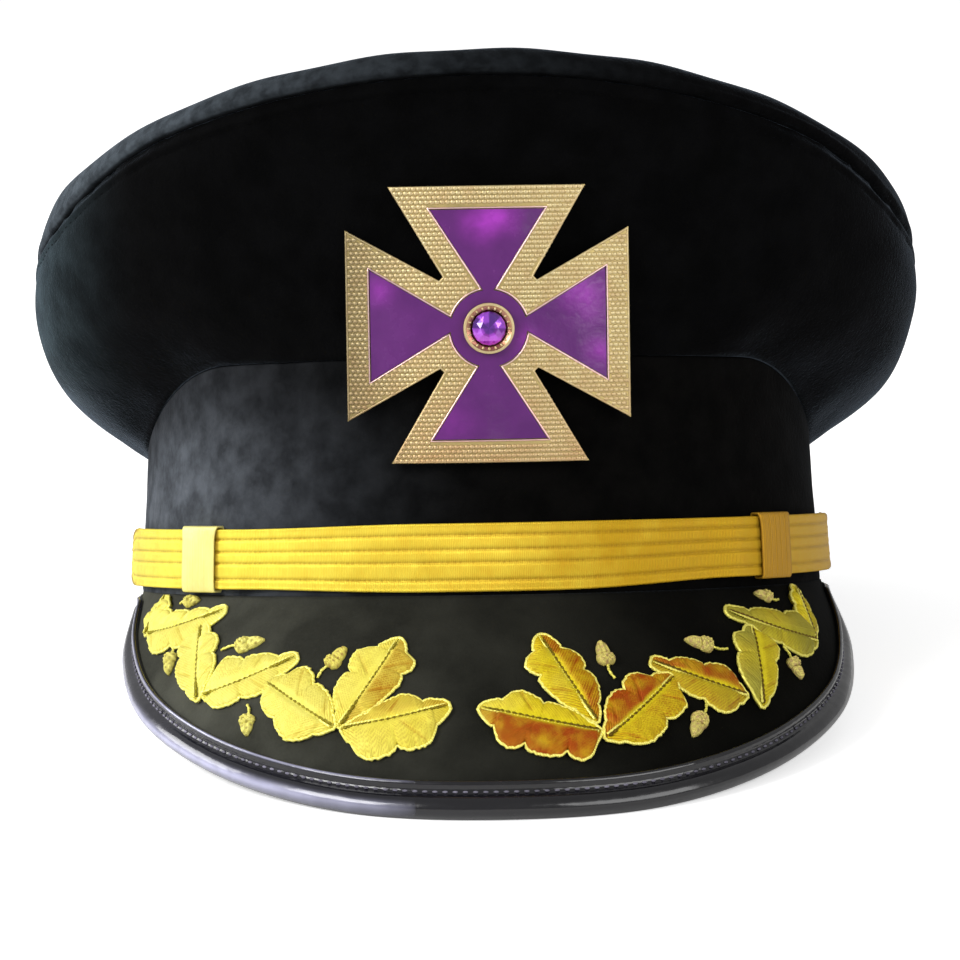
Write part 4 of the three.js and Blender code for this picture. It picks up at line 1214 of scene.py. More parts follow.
class CAP_OT_binding(bpy.types.Operator):
    """Binding: patent leather folded round the visor's edge, with its bead, stitched groove and roll"""

    bl_idname = "cap.binding"
    bl_label = "Binding"

    def execute(self, context):
        cloth = context.scene.cap_cloth
        steps = np.linspace(-1, 1, 300)
        at = np.linspace(0, len(BINDING_OUTSIDE) - 1, 62)
        outside = through(BINDING_OUTSIDE, at)
        inside = through(BINDING_INSIDE, at / at[-1] * (len(BINDING_INSIDE) - 1))
        along, past = np.meshgrid(steps, outside[:, 0])
        pitch = cloth.binding_pitch / MM
        pucker = 0.09 * np.cos(2 * np.pi * along * BINDING_LENGTH / pitch) * bell(past + 4.6, 1.2)
        up = outside[:, 1:] + pucker * (outside[:, 1:] > 0)
        face = binding_point(along, past, up)
        back = binding_point(along, np.broadcast_to(inside[:, :1], past.shape), inside[:, 1:])
        # Painted highlight along the roll's shoulder, and a thin painted highlight along the bead
        painted_light_mask = bell(past - 0.55, 1.1) * smooth(up, -1.3, 0.9) + bell(past + 6.1, 0.24) * (up > 2)
        leather, uv, tone = MATERIALS["patent"], length_uv(face, False), np.clip(painted_light_mask, 0, 1)
        piece = wall_piece("patent_binding", face, back, leather, "patent_leather", uv, tone=tone)
        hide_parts("visor_binding")
        fine = np.linspace(-0.985, 0.985, 1200)
        run = run_along(binding_point(fine, *BINDING_GROOVE))
        spot = np.interp(np.arange(1.0, run[-1] - 1.0, pitch), run, fine)
        places = binding_point(spot, *BINDING_GROOVE)
        ahead = binding_point(spot + 0.002, *BINDING_GROOVE) - places
        thread, shape = MATERIALS["binding stitch"], stitch_shape(1.3, 0.7, 0.6)
        normals = visor_normal(spot, 0.95)
        row_of_stitches("binding_stitches", "patent_leather", thread, shape, places, ahead, normals)
        return {"FINISHED"}


# Chin strap
GROOVES = (0.17, 0.38, 0.57, 0.83)
LOOP_PITCH = 1.5
# The keeper's lace: its width and its length round the strap, one rib, and how square its corners are
KEEPER_WIDTH = 14
KEEPER_ROUND = 44
KEEPER_RIB = 1.25
KEEPER_CORNER = 0.32


def strap_rise(turn):
    return STRAP_LIFT * smooth(turn, 8, UNDERLAY_FROM)


def strap_out(turn):
    return GAP + (STRAP_SIDE_OUT - GAP) * smooth(np.abs(turn), UNDERLAY_FROM - 9, UNDERLAY_FROM - 1)


def strap_share(turn):
    """Half the strap's width at an angle, as a share, rounded towards each tip."""
    inset = np.maximum(0, 1 - (STRAP_REACH - np.abs(turn)) / TIP_ROUND)
    swell = 1 + STRAP_SWELL * (1 - smooth(np.abs(turn), 10, UNDERLAY_FROM - 2))
    return swell * np.sqrt(np.maximum(0.04, 1 - inset**2))


def rib_relief(across, run, depth):
    """The lace's surface: grooves along it and a looped edge."""
    from_top = (1 - across) / 2
    relief = -0.1 * across**2
    for groove in GROOVES:
        relief = relief - depth * bell((from_top - groove) * STRAP_WIDTH, 0.42)
    edge = smooth(np.abs(across), 0.9, 0.97)
    return relief + edge * (0.12 + 0.1 * np.sin(2 * np.pi * run / LOOP_PITCH))


def lace_tone(turn, side, run, share, ends):
    """Painted shade on the lace: darker in its grooves, a painted shadow beside the loops, and a painted
    shadow round the strap's tips.
    """
    from_top = (1 - side) / 2
    dotted = 0.75 + 0.25 * np.cos(2 * np.pi * run / LOOP_PITCH)
    tone = sum(bell((from_top - groove) * STRAP_WIDTH, 0.3) for groove in GROOVES) * dotted * 0.8
    if ends:
        away = np.abs(turn)
        tone = tone + 1.1 * bell(away - KEEPER_FROM + 0.25, 0.35) + 0.6 * bell(away - KEEPER_TO - 0.2, 0.3)
        near_tip = smooth(away, STRAP_REACH - TIP_ROUND - 3, STRAP_REACH - TIP_ROUND + 1)
        tone = tone + near_tip * smooth((1 - np.abs(side)) * share, 0.16, 0.05)
    return np.clip(tone, 0, 1)


def lace_piece(name, turns, out_at, share_at, thick, node, gold):
    """A strip of lace along the band, which lies at out_at and is share_at of the strap's width."""
    across = np.concatenate([[-1.0, -0.985], np.linspace(-0.96, 0.96, 61), [0.985, 1.0]])
    turn, side = np.meshgrid(turns, across)
    height = STRAP_BOTTOM + strap_rise(turn) + STRAP_WIDTH / 2 * (1 + side * share_at(turn))
    run = np.broadcast_to(run_along(on_band(turns, 0, 8.0)), turn.shape)
    relief = rib_relief(side, run, gold.rib / MM)
    rounding = 0.3 * smooth(np.abs(side), 0.96, 1.0)
    face = on_band(turn, out_at(turn) + thick + relief - rounding, height)
    back = on_band(turn, out_at(turn) + rounding, height)
    uv = np.stack([run, side * STRAP_WIDTH / 2], axis=-1)
    tone = lace_tone(turn, side, run, share_at(turn), node == "strap")
    piece = wall_piece(name, face, back, MATERIALS["lace"], "gold_lace", uv, tone=tone)
    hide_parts(node)
    return piece


def keeper_piece(name, hand, node):
    """A loop of lace round the strap and its underlay, with rounded corners and a little flare on top."""
    low, high = STRAP_BOTTOM - KEEPER_MARGIN, STRAP_BOTTOM + STRAP_WIDTH + KEEPER_MARGIN
    front = STRAP_SIDE_OUT + STRAP_THICK + GAP + KEEPER_WALL
    middle = np.array([(GAP + front) / 2, (low + high) / 2])
    half = np.array([(front - GAP) / 2, (high - low) / 2])
    angle = np.linspace(0, 2 * np.pi, 96, endpoint=False)
    turned = np.stack([np.cos(angle), np.sin(angle)], axis=-1)
    squared = np.sign(turned) * np.abs(turned) ** KEEPER_CORNER
    share = np.linspace(0, 1, 29)
    edge = np.minimum(share, 1 - share) * KEEPER_WIDTH
    ribs = 0.09 * np.sin(share * KEEPER_WIDTH / KEEPER_RIB * 2 * np.pi) - 0.16 * bell(edge, 0.5)

    def wall(inset, relief):
        out, height = (middle + (half - inset) * squared).T
        flare = 0.35 * smooth(height, 13, 17.5)
        turn = hand * (KEEPER_FROM - flare + (KEEPER_TO - KEEPER_FROM + 2 * flare) * share[:, None])
        push = relief[:, None] * np.clip(np.cos(angle) * 3, -1, 1)
        return on_band(turn, out + push, height + strap_rise(turn))

    face, back = wall(0, ribs), wall(KEEPER_WALL, ribs * 0)
    run = np.linspace(0, KEEPER_ROUND, len(angle) + 1)
    uv = np.stack(np.meshgrid(run, share * KEEPER_WIDTH), axis=-1)[..., ::-1]
    piece = wall_piece(name, face, back, MATERIALS["keeper"], "gold_lace", uv, True)
    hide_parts(node)
    return piece


class CAP_OT_strap(bpy.types.Operator):
    """Chin strap: the long lace, the short lace under it at each side, and the two loops"""

    bl_idname = "cap.strap"
    bl_label = "Chin strap"

    def execute(self, context):
        gold = context.scene.cap_gold
        tip = TIP_ROUND * np.linspace(0, 1, 12) ** 1.6
        middle = np.linspace(-STRAP_REACH + TIP_ROUND, STRAP_REACH - TIP_ROUND, 400)
        turns = np.concatenate([-STRAP_REACH + tip[:-1], middle, (STRAP_REACH - tip[:-1])[::-1]])
        lace_piece("strap_lace", turns, strap_out, strap_share, STRAP_THICK, "strap", gold)

        def flat(turn):
            return np.full_like(turn, UNDERLAY_OUT)

        for side, hand in (("left", 1), ("right", -1)):
            turns = hand * np.linspace(UNDERLAY_FROM, UNDERLAY_REACH, 120)
            name, node = f"underlay_lace_{side}", f"strap_underlay_{side}"
            lace_piece(name, turns, flat, np.ones_like, UNDERLAY_THICK, node, gold)
            keeper_piece(f"keeper_loop_{side}", hand, f"keeper_{side}")
        return {"FINISHED"}


# Badge: its own frame has +X across it, +Y up it and +Z out of it, with 0 at the back of the plate
CLAWS = 20
CLAW_RADIUS = 5.0


def on_badge(points):
    """Badge millimetres to cap millimetres, bent to the round of the cap."""
    x, y, h = (np.asarray(points, float)[..., k] for k in range(3))
    z = np.sqrt((BADGE_BEND_RADIUS + h) ** 2 - x**2) - BADGE_BEND_RADIUS
    angle = math.radians(90 + BADGE_LEAN)
    forward = y * math.cos(angle) - z * math.sin(angle)
    up = y * math.sin(angle) + z * math.cos(angle)
    origin = on_oval(0.0, BADGE_STAND_OUT, BADGE_HEIGHT)
    return origin + np.stack([x, forward, up], axis=-1)


def settle_on_badge(obj):
    """Puts a piece that was modelled flat, in metres, in its place on the badge."""
    flat = np.array([v.co for v in obj.data.vertices]) / MM
    obj.data.vertices.foreach_set("co", to_world(on_badge(flat)).astype(np.float32).ravel())
    obj.data.update()


def four_arms(corners):
    """The corners of one arm, turned to each of the four arms in order."""
    turned = []
    for arm in range(4):
        angle = -arm * math.pi / 2
        spin = np.array([[math.cos(angle), -math.sin(angle)], [math.sin(angle), math.cos(angle)]])
        turned.append(np.asarray(corners, float) @ spin.T)
    return np.concatenate(turned) * (1, BADGE_TALL)


def cross_outline(inset):
    """The badge's outline, moved inwards."""
    near, far = BADGE_NOTCH, BADGE_NOTCH + 0.9
    arm = [(-BADGE_ARM_HALF, BADGE_REACH), (BADGE_ARM_HALF, BADGE_REACH), (near, far), (far, near)]
    return inset_outline(four_arms(arm), inset)


def inset_outline(points, inset):
    """A clockwise outline moved inwards."""
    ahead = unit(np.roll(points, -1, axis=0) - points)
    inward = np.stack([ahead[:, 1], -ahead[:, 0]], axis=-1)
    before = np.roll(inward, 1, axis=0)
    return points + (inward + before) / (1 + (inward * before).sum(-1, keepdims=True)) * inset


def enamel_arm(grow):
    """Half the width and the distance from the middle of an enamel arm's neck, and of its end."""
    neck = (ENAMEL_NECK_HALF + grow, ENAMEL_DISC - 2)
    return neck, (ENAMEL_ARM_HALF + grow * 1.6, BADGE_REACH - ENAMEL_INSET + grow)


def enamel_outline(grow):
    """The enamel's outline, moved outwards: four arms that leave a round field."""
    (narrow, neck), (wide, end) = enamel_arm(grow)
    centre, radius = np.array([0, -SETTING_DROP]), ENAMEL_DISC + grow
    arms = four_arms([(-narrow, neck), (-wide, end), (wide, end), (narrow, neck)]).reshape(4, 4, 2)
    outline = []

    def leaves_field(start, finish):
        t = np.linspace(0, 1, 400)
        line = start + (finish - start) * t[:, None]
        outside = np.linalg.norm(line - centre, axis=-1) > radius
        return line[np.argmax(outside)]

    for arm in range(4):
        first, left, right, last = arms[arm]
        start, finish = leaves_field(first, left), leaves_field(last, right)
        after = leaves_field(arms[(arm + 1) % 4][0], arms[(arm + 1) % 4][1])
        outline += [start, left, right, finish]
        a, b = (math.atan2(*(p - centre)[::-1]) for p in (finish, after))
        sweep = (a - b) % (2 * math.pi)
        for share in np.linspace(0, 1, 8)[1:-1]:
            angle = a - sweep * share
            outline.append(centre + radius * np.array([math.cos(angle), math.sin(angle)]))
    return np.array(outline)


def evenly(outline, step):
    """A closed outline cut into short steps that keep its corners."""
    points = []
    for a, b in zip(outline, np.roll(outline, -1, axis=0)):
        count = max(1, round(np.linalg.norm(b - a) / step))
        points += [a + (b - a) * k / count for k in range(count)]
    return np.array(points)


def inside(points, outline):
    """Which points lie inside a closed outline."""
    x, y = points[:, :1], points[:, 1:]
    a, b = outline, np.roll(outline, -1, axis=0)
    crosses = (a[:, 1] > y) != (b[:, 1] > y)
    slope = (b[:, 0] - a[:, 0]) / np.where(np.abs(b[:, 1] - a[:, 1]) < 1e-9, 1e-9, b[:, 1] - a[:, 1])
    return (crosses & (x < a[:, 0] + slope * (y - a[:, 1]))).sum(axis=1) % 2 == 1


def bead_shape(across, up, high):
    """One oval bead, cut flat where it sits on the plate."""
    bpy.ops.object.select_all(action="DESELECT")
    bpy.ops.mesh.primitive_uv_sphere_add(segments=8, ring_count=6, radius=0.5 * MM)
    bead = bpy.context.object
    bead.scale = (across, up, high * 2)
    bpy.ops.object.transform_apply(scale=True)
    bpy.ops.object.mode_set(mode="EDIT")
    bpy.ops.mesh.select_all(action="SELECT")
    bpy.ops.mesh.bisect(plane_co=(0, 0, 0), plane_no=(0, 0, 1), clear_inner=True, use_fill=True)
    bpy.ops.object.mode_set(mode="OBJECT")
    return template(bead)


def rim_on(outline, radius, height):
    """A raised line along an outline of the badge."""
    line = evenly(outline, 0.9)
    flat = np.column_stack([line, np.full(len(line), height)])
    points, faces = tube(flat, np.array([[0.0, 0.0, 1.0]]), radius, 8, closed=True)
    return on_badge(points), faces


def add_arm(turn, low, high, grow):
    """One enamel arm as a cube drawn out to its end, in badge metres."""
    (narrow, neck), (wide, end) = enamel_arm(grow)
    bpy.ops.object.select_all(action="DESELECT")
    bpy.ops.mesh.primitive_cube_add(size=1)
    arm = bpy.context.object
    arm.scale = (2 * wide * MM, (end - neck) * MM, (high - low) * MM)
    arm.location = (0, (end + neck) / 2 * MM, (high + low) / 2 * MM)
    bpy.ops.object.transform_apply(location=True, scale=True)
    select_corners(arm, lambda place: place.y < (neck + 0.1) * MM)
    bpy.ops.transform.resize(value=(narrow / wide, 1, 1), center_override=(0, neck * MM, 0))
    bpy.ops.mesh.select_all(action="SELECT")
    bpy.ops.transform.rotate(value=turn, orient_axis="Z", center_override=(0, 0, 0))
    bpy.ops.transform.resize(value=(1, BADGE_TALL, 1), center_override=(0, 0, 0))
    bpy.ops.object.mode_set(mode="OBJECT")
    return arm


def combine(obj, other, operation):
    only(obj)
    cut = obj.modifiers.new("Join", "BOOLEAN")
    cut.operation = operation
    cut.solver = "EXACT"
    cut.object = other
    bpy.ops.object.modifier_apply(modifier=cut.name)
    bpy.data.objects.remove(other)


def add_post(radius, low, high):
    """An upright cylinder at the stone's place, in badge metres."""
    bpy.ops.object.select_all(action="DESELECT")
    middle = (0, -SETTING_DROP * MM, (low + high) / 2 * MM)
    sizes = {"radius": radius * MM, "depth": (high - low) * MM}
    bpy.ops.mesh.primitive_cylinder_add(vertices=72, location=middle, **sizes)
    bpy.ops.object.transform_apply(location=True)
    return bpy.context.object


def round_edges(obj, width, segments, angle):
    only(obj)
    bevel = obj.modifiers.new("Round", "BEVEL")
    bevel.width = width * MM
    bevel.segments = segments
    bevel.limit_method = "ANGLE"
    bevel.angle_limit = math.radians(angle)
    bpy.ops.object.modifier_apply(modifier=bevel.name)


def slice_across(obj, step):
    """Cuts a flat piece into narrow strips, so that it can bend."""
    only(obj)
    bpy.ops.object.mode_set(mode="EDIT")
    reach = int(BADGE_REACH / step)
    for k in range(-reach, reach + 1):
        bpy.ops.mesh.select_all(action="SELECT")
        bpy.ops.mesh.bisect(plane_co=(k * step * MM, 0, 0), plane_no=(1, 0, 0))
    bpy.ops.object.mode_set(mode="OBJECT")


def use_material(obj, material):
    obj.data.materials.clear()
    obj.data.materials.append(material)


def smooth_sides(obj, angle):
    only(obj)
    bpy.ops.object.shade_smooth_by_angle(angle=math.radians(angle))


class CAP_OT_badge(bpy.types.Operator):
    """Badge: beaded gilt border, raised lines, violet enamel, and the stone in its ring"""

    bl_idname = "cap.badge"
    bl_label = "Cross badge"

    def execute(self, context):
        badge = context.scene.cap_badge
        gilt = MATERIALS["gilt"]
        # The plate between the beads gets painted shade
        use_material(frame["nodes"]["cross_plate"], MATERIALS["ground"])
        self.beads(badge, gilt)
        self.lines()
        self.enamel()
        self.setting(gilt)
        return {"FINISHED"}

    def beads(self, badge, gilt):
        across, up = badge.bead_across / MM, badge.bead_up / MM
        rows = np.arange(-32, 33) * up
        spots = np.array(
            [(x + (k % 2) * across / 2, y) for k, y in enumerate(rows) for x in np.arange(-29, 30) * across]
        )
        keep = inside(spots, cross_outline(0.5)) & ~inside(spots, enamel_outline(0.62))
        spots = spots[keep]
        shape = bead_shape(across * 1.12, up * 1.06, 0.28)
        places = np.column_stack([spots, np.full(len(spots), PLATE_THICK - 0.02)])
        points, faces = copies(shape, places, np.broadcast_to(np.eye(3), (len(places), 3, 3)))
        make_object("cross_beads", on_badge(points), faces, [gilt], "gilt_metal")

    def lines(self):
        points, faces = rim_on(enamel_outline(0.12), 0.2, PLATE_THICK + 0.1)
        make_object("enamel_line", points, faces, [MATERIALS["line"]], "gilt_metal")
        points, faces = rim_on(cross_outline(0.26), 0.26, PLATE_THICK - 0.05)
        make_object("cross_edge_line", points, faces, [MATERIALS["gilt"]], "gilt_metal")

    def enamel(self):
        low, high = PLATE_THICK - 1.0 + GAP, PLATE_THICK + 0.12
        enamel = add_post(ENAMEL_DISC - GAP, low, high)
        for arm in range(4):
            combine(enamel, add_arm(arm * math.pi / 2, low, high, -GAP), "UNION")
        combine(enamel, add_post(BEZEL_OUTER + 0.05, low - 1, high + 1), "DIFFERENCE")
        round_edges(enamel, 0.32, 3, 50)
        slice_across(enamel, 1.6)
        settle_on_badge(enamel)
        enamel.name = "violet_enamel"
        use_material(enamel, MATERIALS["enamel"])
        smooth_sides(enamel, 35)
        finish_piece(enamel, "enamel", "cross_enamel")

    def setting(self, gilt):
        base = PLATE_THICK - 1.0 + GAP
        ring = add_post(BEZEL_OUTER, base, base + 2.2)
        select_corners(ring, lambda place: place.z > (base + 2.1) * MM)
        bpy.ops.mesh.select_mode(type="FACE")
        bpy.ops.mesh.inset(thickness=0.65 * MM, depth=0)
        bpy.ops.mesh.inset(thickness=(BEZEL_OUTER - BEZEL_INNER - 0.75) * MM, depth=-0.75 * MM)
        bpy.ops.mesh.inset(thickness=0.1 * MM, depth=-0.5 * MM)
        bpy.ops.mesh.inset(thickness=1.2 * MM, depth=-0.3 * MM)
        bpy.ops.object.mode_set(mode="OBJECT")
        round_edges(ring, 0.22, 3, 50)
        centres = [face.center for face in ring.data.polygons]
        wall = [np.hypot(place.x, place.y + SETTING_DROP * MM) < 5.4 * MM for place in centres]
        settle_on_badge(ring)
        ring.name = "bezel_ring"
        use_material(ring, gilt)
        smooth_sides(ring, 25)
        # The ring's inner wall gets painted shade, with a painted reflection low down
        ring.data.materials.append(MATERIALS["notch"])
        ring.data.polygons.foreach_set("material_index", np.array(wall, np.int32))
        finish_piece(ring, "gilt_metal", "stone_bezel")
        angles = np.arange(CLAWS) * 2 * np.pi / CLAWS
        zero = np.zeros(CLAWS)
        outward = np.column_stack([np.cos(angles), np.sin(angles), zero])
        along = np.column_stack([-np.sin(angles), np.cos(angles), zero])
        upward = np.column_stack([zero, zero, zero + 1])
        places = outward * CLAW_RADIUS + (0, -SETTING_DROP, base + 1.6)
        axes = np.stack([along, -outward, upward], axis=1)
        points, faces = copies(bead_shape(0.7, 1.2, 0.5), places, axes)
        make_object("bezel_claws", on_badge(points), faces, [gilt], "gilt_metal")
        use_material(frame["nodes"]["stone"], MATERIALS["stone"])


# Embroidery. base and tip are places on the visor, along and out. plus and minus are the lobes on either side
# of the line between them, as (millimetres along it, millimetres off it), and deep and dull are how much
# painted shade each side gets and how dull each side is.
LEAVES = {
    "leaf_right_1": dict(
        base=(-0.232, 0.685), tip=(-0.073, 0.55), plus=((16.3, 6.3),),
        minus=((6.1, 9.3), (20.1, 8.7)), deep=(0.3, 0.0), layer=1,
    ),
    "leaf_right_2": dict(
        base=(-0.235, 0.675), tip=(-0.162, 0.225), plus=((8.8, 7.4), (20.5, 8.5)),
        minus=((14.6, 6.1), (22.7, 7.3)), deep=(0.0, 0.45), layer=0,
    ),
    "leaf_right_3": dict(
        base=(-0.242, 0.68), tip=(-0.382, 0.505), plus=((8.5, 8.7), (23, 4.8)),
        minus=((7.6, 5.9), (19.3, 8.6)), deep=(0.0, 0.05), layer=1,
    ),
    "leaf_right_4": dict(
        base=(-0.497, 0.675), tip=(-0.338, 0.345), plus=((5.4, 9.8), (19.7, 5.4)),
        minus=((5, 4.9), (18.5, 5.7)), deep=(0.0, 0.05), layer=0,
    ),
    "leaf_right_5": dict(
        base=(-0.502, 0.715), tip=(-0.583, 0.245), plus=((11.7, 7.5), (21, 7.6)),
        minus=((7.8, 5.1), (17.1, 5.6)), deep=(0.05, 0.0), layer=1,
    ),
    "leaf_right_6": dict(
        base=(-0.752, 0.495), tip=(-0.545, 0.11), plus=((3.7, 7.2), (14, 5.4), (23.5, 4.1)),
        minus=((9.4, 6.1), (22.4, 6.6)), deep=(0.0, 0.1), layer=0,
    ),
    "leaf_right_7": dict(
        base=(-0.757, 0.535), tip=(-0.775, 0.03), plus=((4, 5.4), (9, 4.2)),
        minus=((4, 4.8), (10.5, 6.0)), deep=(0.0, 0.0), layer=1,
    ),
    "leaf_left_1": dict(
        base=(0.14, 0.69), tip=(-0.032, 0.56), plus=((2.3, 8.3), (12.7, 8.8), (21.6, 8.7)),
        minus=((8.1, 4.4), (21.3, 7)), deep=(0.9, 0.0), layer=1,
    ),
    "leaf_left_2": dict(
        base=(0.137, 0.645), tip=(0.073, 0.215), plus=((12.8, 6), (21.3, 7.3)),
        minus=((10.1, 6.1), (18.3, 6.1)), deep=(0.1, 0.55), layer=0,
    ),
    "leaf_left_3": dict(
        base=(0.143, 0.725), tip=(0.282, 0.47), plus=((9.1, 7.1), (19.1, 7.8)),
        minus=((7.8, 7.4), (23.7, 7)), deep=(0.85, 0.25), layer=1,
    ),
    "leaf_left_4": dict(
        base=(0.403, 0.65), tip=(0.25, 0.375), plus=((7.1, 7.3), (17.6, 4.8)),
        minus=((6.1, 7.2), (19.3, 4.6)), deep=(0.3, 0.8), layer=0, dull=(0.35, 0.05),
    ),
    "leaf_left_5": dict(
        base=(0.42, 0.735), tip=(0.49, 0.28), plus=((9.3, 5.8), (20.7, 6.1)),
        minus=((8.8, 4.9), (22.7, 8.2)), deep=(0.1, 0.0), layer=1, dull=(0.95, 0.2),
    ),
    "leaf_left_6": dict(
        base=(0.653, 0.54), tip=(0.455, 0.15), plus=((10.1, 6.3), (23.5, 3.4)),
        minus=((2.8, 8.6), (19.6, 5.9)), deep=(0.0, 0.15), layer=0, dull=(0.9, 0.85),
    ),
    "leaf_left_7": dict(
        base=(0.643, 0.525), tip=(0.718, 0.045), plus=((6, 4), (14, 3.6)),
        minus=((6, 4), (14, 3.4)), deep=(0.0, 0.05), layer=1, dull=(0.3, 0.6),
    ),
}
ACORNS = {
    "acorn_left_1": dict(base=(0.407, 0.38), tip=(0.333, 0.29), half=2.5),
    "acorn_left_2": dict(base=(0.18, 0.44), tip=(0.173, 0.26), half=2.5),
    "acorn_left_3": dict(base=(0.32, 0.63), tip=(0.278, 0.77), half=2.5),
    "acorn_left_4": dict(base=(0.542, 0.47), tip=(0.54, 0.69), half=2.3),
    "acorn_left_5": dict(base=(0.62, 0.14), tip=(0.565, 0.06), half=2.0),
    "acorn_right_1": dict(base=(-0.5, 0.375), tip=(-0.42, 0.275), half=2.5),
    "acorn_right_2": dict(base=(-0.29, 0.44), tip=(-0.255, 0.28), half=2.5),
    "acorn_right_3": dict(base=(-0.4, 0.65), tip=(-0.385, 0.8), half=2.3),
    "acorn_right_4": dict(base=(-0.637, 0.45), tip=(-0.605, 0.655), half=2.3),
    "acorn_right_5": dict(base=(-0.7, 0.1), tip=(-0.645, 0.05), half=2.0),
}


BACK_LIFT = 0.08
CORD_SIDES = 6
CORD_RUN = np.array([0.7, 0.7, 0.1])
KNOT_RUN = np.array([0.7, -0.7, 0.0])


def line_length(base, tip):
    path = beside_line(base, tip, np.linspace(0, 1, 20), 0, 0)
    return np.linalg.norm(np.diff(path, axis=0), axis=-1).sum()


def lobed_edge(lobes, length, at):
    """How far a leaf reaches to one side: low lobes with narrow notches between them, and a blunt tip."""
    place = at * length
    (first, first_off), (last, last_off) = lobes[0], lobes[-1]
    shoulder = last + 0.5 * (length - 1.8 - last)
    start = [(0, 0.6), (first * 0.45, first_off * 0.66)]
    stops = [*start, *lobes, (shoulder, last_off * 0.66), (length - 1.5, 1.9)]
    reach = np.interp(place, *zip(*stops))
    width = max(3, int(len(at) * 3.2 / length) | 1)
    padded = np.pad(reach, width // 2, mode="edge")
    reach = 1.04 * np.convolve(padded, np.ones(width) / width, mode="valid")
    marks = [(first * 0.42, first_off * 0.6), (shoulder, last_off * 0.8)]
    marks += [((a + b) / 2, min(off, end)) for (a, off), (b, end) in zip(lobes, lobes[1:])]
    for along, off in marks:
        reach -= 0.3 * off * np.exp(-np.abs(place - along) / 0.95)
    ends = np.clip(np.minimum(place / 1.6, (length - place) / 1.9), 0, 1)
    return np.maximum(reach * np.sqrt(1 - (1 - ends) ** 2), 0.45)


